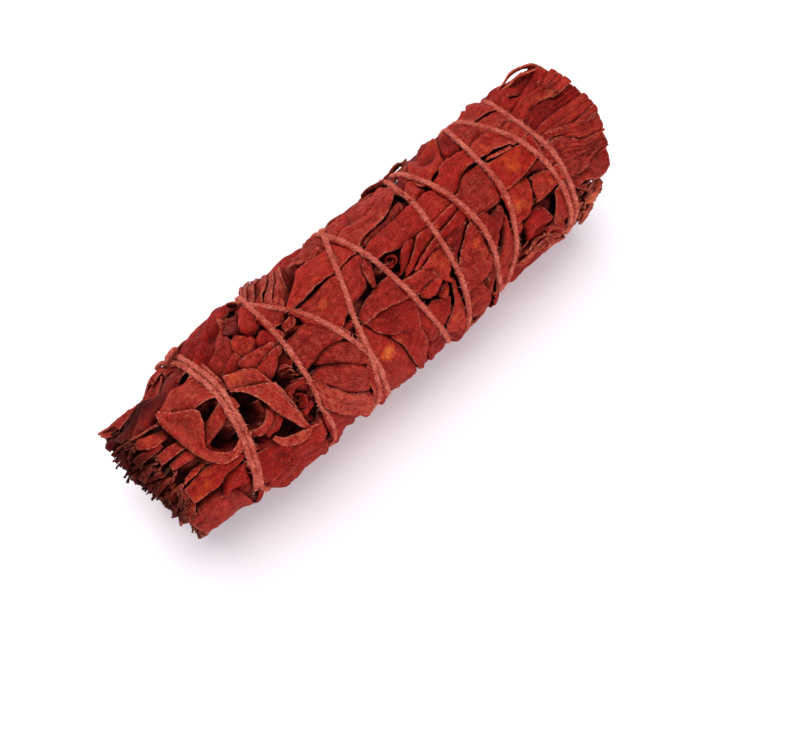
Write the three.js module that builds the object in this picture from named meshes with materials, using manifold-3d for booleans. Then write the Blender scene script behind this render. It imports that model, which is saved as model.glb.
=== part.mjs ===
import * as THREE from 'three';
import { mergeVertices } from 'three/addons/utils/BufferGeometryUtils.js';
import Module from 'manifold-3d';

const wasm = await Module();
wasm.setup();

// A bundle of dried sage lying along X, in millimetres.
// A place on it is a distance along the axis, an angle round it (0 is +Y, 90 is the top) and a radius.
const AXIS_HEIGHT = 15.4;
const NEAR_RIM = -56.5;
const FAR_RIM = 53;
const GAP = 0.3;

// The packed stems and inner leaves under the outer leaves: radius at a distance along the axis.
// Leaves may stack up to a height over it, lower where the thread presses them in.
const CORE_PROFILE = [[-60, 8.1], [-47, 8.3], [-41, 9.5], [-35, 10.3], [22, 10.2], [46, 9.9], [60, 9.2]];
const LEAF_STACK = 5.4;
const PRESSED_STACK = 4.3;
const PRESSED_REACH = 1.8;
const CORE_NEAR_END = -50;
const CORE_FAR_END = 47;
const CORE_FLOOR = 5.4;
const LEAF_FLOOR = 1.9;
const MIDDLE_RADIUS = 4.8;
const MIDDLE_SIDES = 10;
const SPRIG_COUNT = 9;
const WEDGE_FACETS = 4;
const WEDGE_GAP = 0.35;
const WEDGE_STATIONS = [CORE_NEAR_END, -46, -41, -35, -8, 22, CORE_FAR_END];

// Outer leaves. Their lengths and breadths are measured round a cylinder of LEAF_RADIUS.
const LEAF_RADIUS = 14.5;
const LEAF_THICKNESS = 0.6;
const LEAF_RIPPLE = 0.2;
const LEAF_ARCH = 2.7;
const LEAF_ROOT_DEPTH = 0.45;
const LEAF_ROOT_STEP = 2.2;
const LEAF_ROOT_REACH = 1.2;
const LEAF_ROOT_RISE = 0.9;
const LEAF_ROOT_SLIDE = 6;
const LEAF_ROOT_SHIFT = 3;
const LEAF_ROOT_TRIES = 12;
const NARROWER = [1, 0.8, 0.62];

// Stems and the folded inner leaves that reach the two cut ends
const STEM_RADIUS = 1.15;
const STEM_PLACE = 8.2;
const STEM_SIDES = 6;
const FOLD_THICKNESS = 0.6;
const FOLD_ROOT = 2.5;
const FOLD_COLUMNS = 4;
const FOLD_SPACING = 1.7;
const FOLD_CLEARANCE = 1.35;
const FOLD_SIDE_GAP = 0.35;

// The binding thread
const THREAD_RADIUS = 0.68;
const THREAD_SIDES = 6;
const THREAD_STEPS_PER_TURN = 24;
const THREAD_SAG = 0.12;
const THREAD_SINK = 0.3;
const THREAD_CROSSING = 3;
const KNOT_LOOP = 1.3;
const KNOT_ALONG = -36.9;
const KNOT_ANGLE = 37;
const KNOT_SIDES = 9;
const TAIL_STEP = 1.3;
const TAIL_TURN = 7;
const TAIL_STOPS = 4;

const RAD = Math.PI / 180;

// One seeded row of random numbers serves the whole part
let seed = 20417;
function draw(low, high) {
  seed = (Math.imul(seed, 1664525) + 1013904223) >>> 0;
  return low + (high - low) * (seed / 4294967296);
}

function place(along, angle, radius) {
  return new THREE.Vector3(
    along,
    radius * Math.cos(angle * RAD),
    AXIS_HEIGHT + radius * Math.sin(angle * RAD),
  );
}

function polar(point) {
  const up = point.z - AXIS_HEIGHT;
  return [point.x, Math.atan2(up, point.y) / RAD, Math.hypot(point.y, up)];
}

function profileAt(profile, along) {
  let next = profile.findIndex(([stop]) => stop >= along);
  next = Math.min(Math.max(next, 1), profile.length - 1);
  const [s0, r0] = profile[next - 1];
  const [s1, r1] = profile[next];
  const share = Math.min(Math.max((along - s0) / (s1 - s0), 0), 1);
  return r0 + share * (r1 - r0);
}

// The bundle is flat underneath, where it rests
function radiusAbove(floor, radius, angle) {
  const down = -Math.sin(angle * RAD);
  return down > 0 ? Math.min(radius, (AXIS_HEIGHT - floor) / down) : radius;
}

function coreRadius(along, angle) {
  return radiusAbove(CORE_FLOOR, profileAt(CORE_PROFILE, along), angle);
}

// The thread's turns, as places along the axis at 30, 60, 90, 120, 150 and 180 degrees of each turn.
// It climbs to the far end in the first five, turns, and comes back down to the knot.
const OUTWARD_TURNS = [
  [-36.1, -35.9, -35.8, -37.2, -38.9, -39.8],
  [-22.0, -20.1, -16.3, -13.2, -10.9, -10.5],
  [-2.2, -1.1, 0.4, 1.2, 2.5, 4.7],
  [18.5, 18.5, 19.7, 20.3, 19.9, 19.7],
  [34.0, 34.7, 37.4, 38.9, 39.2, 39.2],
];
const HOMEWARD_TURNS = [
  [42.8, 41.2, 40.9, 41.2, 41.0, 41.0],
  [32.4, 30.3, 28.8, 28.0, 25.5, 22.8],
  [16.8, 14.8, 13.3, 12.2, 11.4, 10.8],
  [0.8, -2.8, -6.7, -10.1, -11.8, -12.3],
  [-20.1, -21.5, -22.2, -22.9, -24.0, -23.8],
  [-37.8, -37.5, -37.4, -38.9, -40.7, -41.5],
];
const FIRST_MARK = 30;
const MARK_SPACING = 30;
const LAST_MARK = 180;

// A smooth line through the marks, one stop for each step round the bundle
function threadRoute(turns, firstTurn, lastAngle) {
  const marks = turns.flatMap((turn, number) => turn.map((along, mark) => (
    { angle: (firstTurn + number) * 360 + FIRST_MARK + mark * MARK_SPACING, along }
  )));
  const slope = (k) => {
    const before = marks[Math.max(k - 1, 0)];
    const after = marks[Math.min(k + 1, marks.length - 1)];
    return (after.along - before.along) / (after.angle - before.angle);
  };
  const route = [];
  const step = 360 / THREAD_STEPS_PER_TURN;
  for (let angle = marks[0].angle; angle <= lastAngle; angle += step) {
    let k = marks.findIndex((mark) => mark.angle > angle) - 1;
    if (k < 0) k = marks.length - 2;
    const span = marks[k + 1].angle - marks[k].angle;
    const t = Math.min((angle - marks[k].angle) / span, 1);
    const along = marks[k].along * (1 + 2 * t) * (1 - t) ** 2
      + marks[k + 1].along * (3 - 2 * t) * t ** 2
      + slope(k) * span * t * (1 - t) ** 2
      - slope(k + 1) * span * t ** 2 * (1 - t);
    route.push({ along, angle });
  }
  return route;
}

const OUTWARD_ROUTE = threadRoute(
  [...OUTWARD_TURNS, HOMEWARD_TURNS[0]],
  0,
  OUTWARD_TURNS.length * 360 + FIRST_MARK,
);
const HOMEWARD_ROUTE = threadRoute(
  HOMEWARD_TURNS,
  OUTWARD_TURNS.length,
  (OUTWARD_TURNS.length + HOMEWARD_TURNS.length - 1) * 360 + LAST_MARK,
);

// The shorter way round from one angle to another, between -180 and 180
function turnBetween(from, to) {
  return ((((to - from) % 360) + 540) % 360) - 180;
}

function distanceToThread(along, angle) {
  let nearest = Infinity;
  for (const stop of [...OUTWARD_ROUTE, ...HOMEWARD_ROUTE]) {
    if (Math.abs(turnBetween(angle, stop.angle)) > 180 / THREAD_STEPS_PER_TURN) continue;
    nearest = Math.min(nearest, Math.abs(stop.along - along));
  }
  return nearest;
}

// The highest surface reached so far over every place, and the sprig that it belongs to
const CELL_LENGTH = 0.5;
const CELL_ANGLE = 1.5;
const CELL_BREADTH = 0.34;
const FIELD_START = -64;
const FIELD_ROWS = 250;
const FIELD_COLUMNS = 360 / CELL_ANGLE;
const SECTOR = 360 / SPRIG_COUNT;

function sectorOf(angle) {
  return Math.floor((((angle % 360) + 360) % 360) / SECTOR);
}

// Leaves may stand higher between the turns of the thread than under them
const field = [];
for (let row = 0; row < FIELD_ROWS; row++) {
  for (let column = 0; column < FIELD_COLUMNS; column++) {
    const along = FIELD_START + row * CELL_LENGTH;
    const angle = (column + 0.5) * CELL_ANGLE;
    const stack = distanceToThread(along, angle) < PRESSED_REACH ? PRESSED_STACK : LEAF_STACK;
    const ceiling = radiusAbove(LEAF_FLOOR, profileAt(CORE_PROFILE, along) + stack, angle);
    field.push({ radius: coreRadius(along, angle), ceiling, owner: sectorOf(angle) });
  }
}

function cellAt(along, angle, rowShift = 0, columnShift = 0) {
  const row = Math.round((along - FIELD_START) / CELL_LENGTH) + rowShift;
  const turn = Math.floor((((angle % 360) + 360) % 360) / CELL_ANGLE) + columnShift;
  const column = (turn + FIELD_COLUMNS) % FIELD_COLUMNS;
  return field[Math.min(Math.max(row, 0), FIELD_ROWS - 1) * FIELD_COLUMNS + column];
}

function cellsRound(along, angle, reach) {
  const rows = Math.ceil(reach / CELL_LENGTH);
  const columns = Math.ceil(reach / CELL_BREADTH);
  const cells = [];
  for (let row = -rows; row <= rows; row++) {
    for (let column = -columns; column <= columns; column++) {
      cells.push(cellAt(along, angle, row, column));
    }
  }
  return cells;
}

function heightAt(along, angle, reach = CELL_LENGTH) {
  return Math.max(...cellsRound(along, angle, reach).map((cell) => cell.radius));
}

function lowestAt(along, angle) {
  return Math.min(...cellsRound(along, angle, CELL_LENGTH).map((cell) => cell.radius));
}

// A closed sheet between two faces that are split into triangles alike
function sheetTriangles(rows, columns) {
  const lower = [];
  for (let i = 0; i < rows - 1; i++) {
    for (let j = 0; j < columns - 1; j++) {
      const a = i * columns + j;
      const b = a + columns;
      lower.push([a, b, b + 1], [a, b + 1, a + 1]);
    }
  }
  return lower;
}

function sheetRim(rows, columns) {
  const rim = [];
  for (let i = 0; i < rows - 1; i++) {
    rim.push(i * columns);
  }
  for (let j = 0; j < columns - 1; j++) {
    rim.push((rows - 1) * columns + j);
  }
  for (let i = rows - 1; i > 0; i--) {
    rim.push(i * columns + columns - 1);
  }
  for (let j = columns - 1; j > 0; j--) {
    rim.push(j);
  }
  return rim;
}

function sheetSolid(rows, columns, lowerPoints, upperPoints) {
  const count = rows * columns;
  const positions = [...lowerPoints, ...upperPoints].flatMap((point) => point.toArray());
  const index = [];
  for (const [a, b, c] of sheetTriangles(rows, columns)) {
    index.push(a, b, c, a + count, c + count, b + count);
  }
  const rim = sheetRim(rows, columns);
  rim.forEach((a, k) => {
    const b = rim[(k + 1) % rim.length];
    index.push(a, a + count, b, b, a + count, b + count);
  });
  return toManifold(positions, index);
}

function toManifold(positions, index) {
  const vertProperties = new Float32Array(positions);
  const triVerts = new Uint32Array(index);
  return new wasm.Manifold(new wasm.Mesh({ numProp: 3, vertProperties, triVerts }));
}

function solidOf(geometry) {
  const bare = geometry.clone();
  bare.deleteAttribute('normal');
  bare.deleteAttribute('uv');
  const merged = mergeVertices(bare, 1e-4);
  return toManifold(merged.attributes.position.array, merged.index.array);
}

function geometryOf(solid) {
  const mesh = solid.getMesh();
  const geometry = new THREE.BufferGeometry();
  geometry.setAttribute('position', new THREE.BufferAttribute(mesh.vertProperties, 3));
  geometry.setIndex(new THREE.BufferAttribute(mesh.triVerts, 1));
  return geometry;
}

// The wedge of packed stems and folded leaves at the heart of one sprig
function wedgeSolid(number) {
  const lower = [];
  const upper = [];
  const inner = MIDDLE_RADIUS + WEDGE_GAP;
  const clear = (radius) => Math.asin(WEDGE_GAP / 2 / radius) / RAD;
  for (const along of WEDGE_STATIONS) {
    for (let facet = 0; facet <= WEDGE_FACETS; facet++) {
      const angle = (number + facet / WEDGE_FACETS) * SECTOR;
      const outer = coreRadius(along, angle);
      const side = facet === 0 ? 1 : facet === WEDGE_FACETS ? -1 : 0;
      lower.push(place(along, angle + side * clear(inner), inner));
      upper.push(place(along, angle + side * clear(outer), outer));
    }
  }
  return sheetSolid(WEDGE_STATIONS.length, WEDGE_FACETS + 1, lower, upper);
}

function stemSolid(angle, distance, radius) {
  const near = NEAR_RIM - draw(0, 1.2);
  const far = FAR_RIM + draw(-0.5, 1.4);
  const geometry = new THREE.CylinderGeometry(radius, radius * 1.15, far - near, STEM_SIDES);
  geometry.rotateZ(-Math.PI / 2);
  const centre = place((near + far) / 2, angle, distance);
  geometry.translate(centre.x, centre.y, centre.z);
  return solidOf(geometry);
}

// Inner leaves, folded lengthwise, that run out of the core to a cut end
function foldedEnd(fromAngle, toAngle, radius, coreEnd, rim) {
  const outward = Math.sign(rim - coreEnd);
  const stations = [coreEnd - FOLD_ROOT * outward, rim];
  const lower = [];
  const upper = [];
  const pleat = draw(0.3, 0.5);
  stations.forEach((station, row) => {
    for (let column = 0; column < FOLD_COLUMNS; column++) {
      const angle = fromAngle + (toAngle - fromAngle) * (column / (FOLD_COLUMNS - 1));
      const ragged = row === 1 ? draw(-1.6, 0.9) : 0;
      const wave = pleat * (column % 2) + (row === 1 ? draw(-0.1, 0.25) : 0);
      lower.push(place(station + ragged * outward, angle, radius + wave));
      upper.push(place(station + ragged * outward, angle, radius + wave + FOLD_THICKNESS));
    }
  });
  const rowsInOrder = (points) => (outward > 0
    ? points
    : [...points.slice(FOLD_COLUMNS), ...points.slice(0, FOLD_COLUMNS)]);
  return sheetSolid(2, FOLD_COLUMNS, rowsInOrder(lower), rowsInOrder(upper));
}

function foldedEnds(fromAngle, toAngle, innermost) {
  const ends = [];
  for (const [coreEnd, rim] of [[CORE_NEAR_END, NEAR_RIM], [CORE_FAR_END, FAR_RIM]]) {
    const middle = (fromAngle + toAngle) / 2;
    const inside = innermost < MIDDLE_RADIUS;
    const limit = inside ? MIDDLE_RADIUS : Math.min(coreRadius(coreEnd, middle), coreRadius(rim, middle));
    for (let radius = innermost; radius <= limit - FOLD_CLEARANCE; radius += FOLD_SPACING) {
      const margin = Math.asin(FOLD_SIDE_GAP / radius) / RAD;
      ends.push(foldedEnd(fromAngle + margin, toAngle - margin, radius, coreEnd, rim));
    }
  }
  return ends;
}

// Half the breadth of a leaf at a share of its length, with a softly waved edge
function halfBreadth(leaf, share, side) {
  const blade = leaf.cut
    ? 0.22 + 0.78 * Math.min(1, share / 0.4) ** 0.7
    : 0.2 + 0.8 * Math.sin(Math.PI * share ** 0.85) ** 0.8;
  const wave = 1 + 0.07 * Math.sin(share * 17 + side * 2 + leaf.phase);
  return (leaf.breadth / 2) * blade * wave;
}

// How far a leaf stands up, along its ridge and in its ripples: not at all under the thread
function leafLift(leaf, share, across, along, angle) {
  const ridge = leaf.ridge * (1 - Math.abs(across)) * Math.sin(Math.PI * share);
  const ripple = LEAF_RIPPLE * (1 + Math.sin(share * 9 + across * 2.5 + leaf.phase));
  const slack = Math.min(Math.max(distanceToThread(along, angle) - PRESSED_REACH, 0) / 3, 1);
  return slack * (ridge + ripple * Math.min(1, share * 3));
}

function leafPoints(leaf, root) {
  const run = leaf.tip[0] - (leaf.cut ? root[0] : leaf.root[0]);
  const climb = (leaf.tip[1] - leaf.root[1]) * RAD * LEAF_RADIUS;
  const length = Math.hypot(run, climb);
  const heading = [run / length, climb / length];
  const points = [];
  for (let i = 0; i < leaf.rows; i++) {
    const later = LEAF_ROOT_STEP + (length - LEAF_ROOT_STEP) * ((i - 1) / (leaf.rows - 2));
    const distance = i === 0 ? 0 : later;
    const share = distance / length;
    for (let j = 0; j < leaf.columns; j++) {
      const across = -1 + (2 * j) / (leaf.columns - 1);
      const aside = across * halfBreadth(leaf, share, Math.sign(across));
      const ragged = leaf.cut && i === leaf.rows - 1 ? draw(-1.3, 0.7) : 0;
      const forward = distance + ragged;
      const along = root[0] + heading[0] * forward - heading[1] * aside;
      const around = heading[1] * forward + heading[0] * aside;
      const angle = root[1] + around / LEAF_RADIUS / RAD;
      const crown = 1 - 0.5 * across ** 2;
      points.push({ along, angle, row: i, crown, lift: leafLift(leaf, share, across, along, angle) });
    }
  }
  return points;
}

// Places near the wanted root, the nearest first, where one sprig's surface can carry the leaf
function rootPlaces(leaf) {
  const run = leaf.tip[0] - leaf.root[0];
  const climb = (leaf.tip[1] - leaf.root[1]) * RAD * LEAF_RADIUS;
  const length = Math.hypot(run, climb);
  const spot = (forward, aside) => [
    leaf.root[0] + (forward * run - aside * climb) / length,
    leaf.root[1] + (forward * climb + aside * run) / length / LEAF_RADIUS / RAD,
  ];
  const places = [];
  for (let forward = -LEAF_ROOT_SLIDE; forward <= LEAF_ROOT_SLIDE; forward += 0.5) {
    for (let aside = -LEAF_ROOT_SHIFT; aside <= LEAF_ROOT_SHIFT; aside += 0.75) {
      const cells = [0, LEAF_ROOT_REACH].flatMap((ahead) => (
        cellsRound(...spot(forward + ahead, aside), LEAF_ROOT_REACH)
      ));
      const owner = cells[0].owner;
      const heights = cells.map((cell) => cell.radius);
      const flat = Math.max(...heights) - Math.min(...heights) < LEAF_ROOT_RISE;
      if (flat && cells.every((cell) => cell.owner === owner)) {
        places.push({ root: spot(forward, aside), owner, away: Math.hypot(forward, aside) });
      }
    }
  }
  return places.sort((one, other) => one.away - other.away).slice(0, LEAF_ROOT_TRIES);
}

function samples(a, b, c, spacing) {
  const longest = Math.max(a.distanceTo(b), b.distanceTo(c), c.distanceTo(a));
  const steps = Math.ceil(longest / spacing);
  const list = [];
  for (let i = 0; i <= steps; i++) {
    for (let j = 0; j <= steps - i; j++) {
      const weights = [i / steps, j / steps, (steps - i - j) / steps];
      const point = new THREE.Vector3()
        .addScaledVector(a, weights[0])
        .addScaledVector(b, weights[1])
        .addScaledVector(c, weights[2]);
      list.push({ weights, point });
    }
  }
  return list;
}

// Where a facet dips deepest below its clearance, with the weight of each corner there
function deepestDip(trio, owner) {
  const rooted = trio.some((corner) => corner.row === 0);
  const spots = trio.map((corner) => place(corner.along, corner.angle, corner.radius));
  let deepest = { short: 0 };
  for (const { weights, point } of samples(...spots, 0.6)) {
    const [along, angle, radius] = polar(point);
    if (rooted && cellAt(along, angle).owner === owner) continue;
    const short = heightAt(along, angle) + GAP - radius;
    if (short > deepest.short) deepest = { short, weights };
  }
  return deepest;
}

// A leaf is laid on what is under it and lifted until every facet clears it
function drape(points, triangles, owner) {
  for (let sweep = 0; sweep < 40; sweep++) {
    let worst = 0;
    for (const corners of triangles) {
      const trio = corners.map((k) => points[k]);
      const { short, weights } = deepestDip(trio, owner);
      if (short < 0.01) continue;
      worst = Math.max(worst, short);
      const free = trio.map((corner, k) => (corner.row > 0 ? weights[k] : 0));
      const scale = free.reduce((sum, weight) => sum + weight * weight, 0);
      if (scale < 0.1) return false;
      trio.forEach((corner, k) => {
        corner.radius += (short * free[k]) / scale;
      });
    }
    if (worst < 0.03) return true;
  }
  return false;
}

function topSamples(points, triangles) {
  return triangles.flatMap((corners) => {
    const spots = corners.map((k) => {
      const corner = points[k];
      return place(corner.along, corner.angle, corner.radius + LEAF_THICKNESS);
    });
    return samples(...spots, 0.25).map(({ point }) => polar(point));
  });
}

function stamp(top, owner) {
  for (const [along, angle, radius] of top) {
    const cell = cellAt(along, angle);
    if (radius > cell.radius) {
      cell.radius = radius;
      cell.owner = owner;
    }
  }
}

function growLeaf(leaf, sprigs) {
  const triangles = sheetTriangles(leaf.rows, leaf.columns);
  for (const { root, owner } of rootPlaces(leaf)) {
    const points = leafPoints(leaf, root);
    for (const point of points) {
      const arch = profileAt(CORE_PROFILE, point.along) + leaf.arch * point.crown;
      const resting = heightAt(point.along, point.angle) + GAP;
      point.radius = point.row === 0
        ? lowestAt(point.along, point.angle) - LEAF_ROOT_DEPTH
        : Math.max(resting, radiusAbove(LEAF_FLOOR, arch, point.angle)) + point.lift;
    }
    if (!drape(points, triangles, owner)) continue;
    const top = topSamples(points, triangles);
    if (top.some(([along, angle, radius]) => radius > cellAt(along, angle).ceiling)) continue;
    stamp(top, owner);
    const face = (rise) => points.map((point) => place(point.along, point.angle, point.radius + rise));
    const solid = sheetSolid(leaf.rows, leaf.columns, face(0), face(LEAF_THICKNESS));
    sprigs[owner] = sprigs[owner].add(solid);
    return true;
  }
  return false;
}

function makeLeaf(root, tip, breadth, options = {}) {
  const plain = { rows: 5, columns: 4, ridge: 0.3, arch: LEAF_ARCH, cut: false };
  return { ...plain, phase: draw(0, 6), root, tip, breadth, ...options };
}

// The under coat: rings of leaves laid lengthwise, each ring over the roots of the one before
function underCoat() {
  const leaves = [];
  const rings = [[16, FAR_RIM], [-19, 21], [-20, NEAR_RIM]];
  rings.forEach(([start, end], ring) => {
    for (let k = 0; k < SPRIG_COUNT; k++) {
      const angle = (k + 0.5) * SECTOR + draw(-4, 4);
      const root = [start + draw(-2, 2), angle];
      const tip = [end + draw(-0.5, 0.5), angle + draw(-22, 22)];
      const breadth = ring === 2 ? 8.5 : 10;
      leaves.push(makeLeaf(root, tip, breadth, { cut: ring !== 1, ridge: 0, arch: 0, rows: 5, columns: 3 }));
    }
  });
  return leaves;
}

// The leaves that show on top, each as root and tip (along, angle), breadth and how it lies
function topLeaves() {
  const cut = { cut: true };
  const ridged = { ridge: 0.9 };
  return [
    makeLeaf([-41, 68], [-56, 68], 5.5, cut),
    makeLeaf([-42, 88], [-57, 86], 5, cut),
    makeLeaf([-43, 104], [-57, 103], 5, cut),
    makeLeaf([-43, 122], [-57, 121], 5.5, cut),
    makeLeaf([-42, 142], [-56, 140], 6, cut),
    makeLeaf([-38, 174], [-55.5, 172], 10, cut),
    makeLeaf([-41, 46], [-22, 42], 7),
    makeLeaf([-39, 60], [-22, 62], 8),
    makeLeaf([-26, 132], [-40, 126], 8),
    makeLeaf([-40, 166], [-22, 171], 10),
    makeLeaf([-39, 80], [-22, 84], 9),
    makeLeaf([-31, 100], [-47.5, 96], 15, { ridge: 1.1, rows: 7, columns: 5 }),
    makeLeaf([-36, 92], [-26, 152], 8.5, ridged),
    makeLeaf([-38, 152], [-24, 132], 5.5),
    makeLeaf([-24, 158], [-9, 160], 6.5, ridged),
    makeLeaf([-23, 180], [-9, 176], 7),
    makeLeaf([-24, 140], [-9, 134], 7, ridged),
    makeLeaf([-22, 38], [-4, 42], 7),
    makeLeaf([-21, 58], [-2, 56], 6.5),
    makeLeaf([-22, 84], [-4, 76], 10),
    makeLeaf([-16, 104], [4, 98], 9),
    makeLeaf([3, 132], [-10, 121], 8.5, ridged),
    makeLeaf([-12, 150], [0, 144], 8.5),
    makeLeaf([-9, 172], [5, 160], 8),
    makeLeaf([-4, 44], [16, 40], 8),
    makeLeaf([-6, 66], [15, 64], 8),
    makeLeaf([-8, 86], [19, 88], 7.5, ridged),
    makeLeaf([1, 108], [20, 104], 6, ridged),
    makeLeaf([0, 126], [13, 116], 6.5),
    makeLeaf([1, 150], [12, 134], 6),
    makeLeaf([2, 178], [17, 164], 8.5),
    makeLeaf([8, 152], [20, 122], 8, ridged),
    makeLeaf([14, 50], [35, 44], 9),
    makeLeaf([13, 72], [36, 68], 8.5),
    makeLeaf([16, 92], [37, 94], 6.5, ridged),
    makeLeaf([18, 112], [40, 108], 7),
    makeLeaf([17, 160], [29, 124], 7, ridged),
    makeLeaf([19, 182], [34, 164], 9),
    makeLeaf([28, 138], [41, 130], 7.5),
    makeLeaf([30, 160], [43, 152], 7),
    makeLeaf([33, 38], [53, 44], 7, cut),
    makeLeaf([33, 62], [53.5, 62], 7, cut),
    makeLeaf([34, 84], [54, 82], 6.5, cut),
    makeLeaf([36, 104], [54, 103], 6.5, cut),
    makeLeaf([36, 124], [53, 124], 6.5, cut),
    makeLeaf([37, 146], [50.5, 146], 6, cut),
    makeLeaf([35, 172], [46, 170], 8, cut),
  ];
}

// The leaves round the back, by rule: uneven rings that lean both ways. Each place is tried a few times.
function backLeaf(start, end, middle, cut) {
  const root = [start + draw(-2, 2), middle + draw(-6, 6)];
  const tip = [end + draw(-2, 2), root[1] + draw(-24, 24)];
  return makeLeaf(root, tip, draw(6.5, 9), { cut, ridge: draw(0.2, 0.7) });
}

function growBack(sprigs) {
  const rings = [[-39, -22], [-26, -7], [-8, 12], [11, 31], [33, 52]];
  rings.forEach(([start, end], ring) => {
    for (let k = 0; k < 7; k++) {
      const middle = 205 + k * 24 + (ring % 2) * 12;
      let grown = false;
      for (let attempt = 0; attempt < 4 && !grown; attempt++) {
        grown = growLeaf(backLeaf(start, end, middle, ring === rings.length - 1), sprigs);
      }
    }
  });
}

// The thread lies taut on what it crosses, and a later turn rides over an earlier one
function layThread(route, earlier) {
  const reach = THREAD_RADIUS + 0.4;
  const step = 360 / THREAD_STEPS_PER_TURN;
  for (const stop of route) {
    const heights = [-0.6, -0.3, 0, 0.3, 0.6].map((share) => (
      heightAt(stop.along, stop.angle + share * step, reach)
    ));
    stop.radius = Math.max(...heights) + GAP + THREAD_RADIUS + THREAD_SAG;
    for (const other of earlier) {
      const round = turnBetween(other.angle, stop.angle) * RAD * LEAF_RADIUS;
      if (Math.hypot(stop.along - other.along, round) > THREAD_CROSSING) continue;
      stop.radius = Math.max(stop.radius, other.radius + 2 * THREAD_RADIUS - THREAD_SINK);
    }
  }
  const hold = Math.cos((360 / THREAD_STEPS_PER_TURN) * RAD);
  for (let sweep = 0; sweep < 40; sweep++) {
    for (let k = 1; k < route.length - 1; k++) {
      const taut = ((route[k - 1].radius + route[k + 1].radius) / 2) * hold;
      route[k].radius = Math.max(route[k].radius, taut);
    }
  }
  return route;
}

function cordSolid(stops, radius) {
  const curve = new THREE.CatmullRomCurve3(stops);
  const section = new THREE.Shape();
  for (let side = 0; side < THREAD_SIDES; side++) {
    const turn = (side / THREAD_SIDES) * 2 * Math.PI;
    const corner = [radius * Math.cos(turn), radius * Math.sin(turn)];
    if (side === 0) section.moveTo(...corner);
    else section.lineTo(...corner);
  }
  section.closePath();
  const options = { steps: stops.length - 1, extrudePath: curve, bevelEnabled: false };
  return solidOf(new THREE.ExtrudeGeometry(section, options));
}

function routePoints(route) {
  return route.map((stop) => place(stop.along, stop.angle, stop.radius));
}

// The knot where the two ends meet: a loop drawn tight over both strands, and two short tails
function knotSolid(strand) {
  const loop = new THREE.TorusGeometry(KNOT_LOOP, THREAD_RADIUS, THREAD_SIDES, KNOT_SIDES);
  loop.rotateX((KNOT_ANGLE - 90) * RAD);
  const centre = place(KNOT_ALONG, KNOT_ANGLE, strand.radius + 2 * THREAD_RADIUS - THREAD_SINK);
  loop.translate(centre.x, centre.y, centre.z);
  const tails = [1, -1].map((side) => {
    const stops = [];
    for (let step = 0; step < TAIL_STOPS; step++) {
      const along = KNOT_ALONG + side * TAIL_STEP * step;
      stops.push({ along, angle: KNOT_ANGLE - side * TAIL_TURN * step });
    }
    return cordSolid(routePoints(layThread(stops, [])), THREAD_RADIUS);
  });
  return tails.reduce((whole, tail) => whole.add(tail), solidOf(loop));
}

function bindingThread() {
  const out = layThread(OUTWARD_ROUTE, []);
  const home = layThread(HOMEWARD_ROUTE, out.slice(0, -3));
  home[0].radius = out[out.length - 1].radius;
  return cordSolid(routePoints(out), THREAD_RADIUS)
    .add(cordSolid(routePoints(home), THREAD_RADIUS))
    .add(knotSolid(out[0]));
}

function floorCut() {
  const block = new THREE.BoxGeometry(200, 100, 60);
  block.translate(0, 0, 30);
  return solidOf(block);
}

// Put the pieces together
const sprigs = [];
for (let number = 0; number < SPRIG_COUNT; number++) {
  const from = number * SECTOR;
  let sprig = wedgeSolid(number).add(stemSolid(from + SECTOR * draw(0.42, 0.58), STEM_PLACE, STEM_RADIUS));
  for (const end of foldedEnds(from, from + SECTOR, MIDDLE_RADIUS + 0.8)) {
    sprig = sprig.add(end);
  }
  sprigs.push(sprig);
}

// A leaf that finds no room is grown narrower
for (const leaf of [...underCoat(), ...topLeaves()]) {
  NARROWER.some((share) => growLeaf({ ...leaf, breadth: leaf.breadth * share }, sprigs));
}
growBack(sprigs);

function middleSprig() {
  const length = CORE_FAR_END - CORE_NEAR_END;
  const heart = new THREE.CylinderGeometry(MIDDLE_RADIUS, MIDDLE_RADIUS, length, MIDDLE_SIDES);
  heart.rotateZ(-Math.PI / 2);
  heart.translate((CORE_FAR_END + CORE_NEAR_END) / 2, 0, AXIS_HEIGHT);
  let sprig = solidOf(heart).add(stemSolid(0, 0, STEM_RADIUS * 1.2));
  for (const start of [20, 110, 200, 290]) {
    for (const end of foldedEnds(start, start + 75, 2.2)) {
      sprig = sprig.add(end);
    }
  }
  return sprig;
}

const leafMaterial = () => new THREE.MeshStandardMaterial({ color: 0x8c2a1e, roughness: 0.85, metalness: 0 });
const threadMaterial = new THREE.MeshStandardMaterial({ color: 0xb2503c, roughness: 1, metalness: 0 });

const group = new THREE.Group();
const aboveFloor = floorCut();

function addPiece(name, solid, material) {
  const mesh = new THREE.Mesh(geometryOf(solid.intersect(aboveFloor)), material);
  mesh.name = name;
  group.add(mesh);
}

sprigs.forEach((sprig, number) => addPiece(`sprig_${number + 1}`, sprig, leafMaterial()));
addPiece('sprig_middle', middleSprig(), leafMaterial());
addPiece('binding_thread', bindingThread(), threadMaterial);

// The origin is under the middle of the bundle, on the surface that it lies on
const middle = new THREE.Box3().setFromObject(group).getCenter(new THREE.Vector3());
group.position.set(-middle.x, -middle.y, 0);

export default group;
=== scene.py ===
import math
import random

import bmesh
import bpy
import numpy as np
from mathutils import Matrix, Vector


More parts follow.
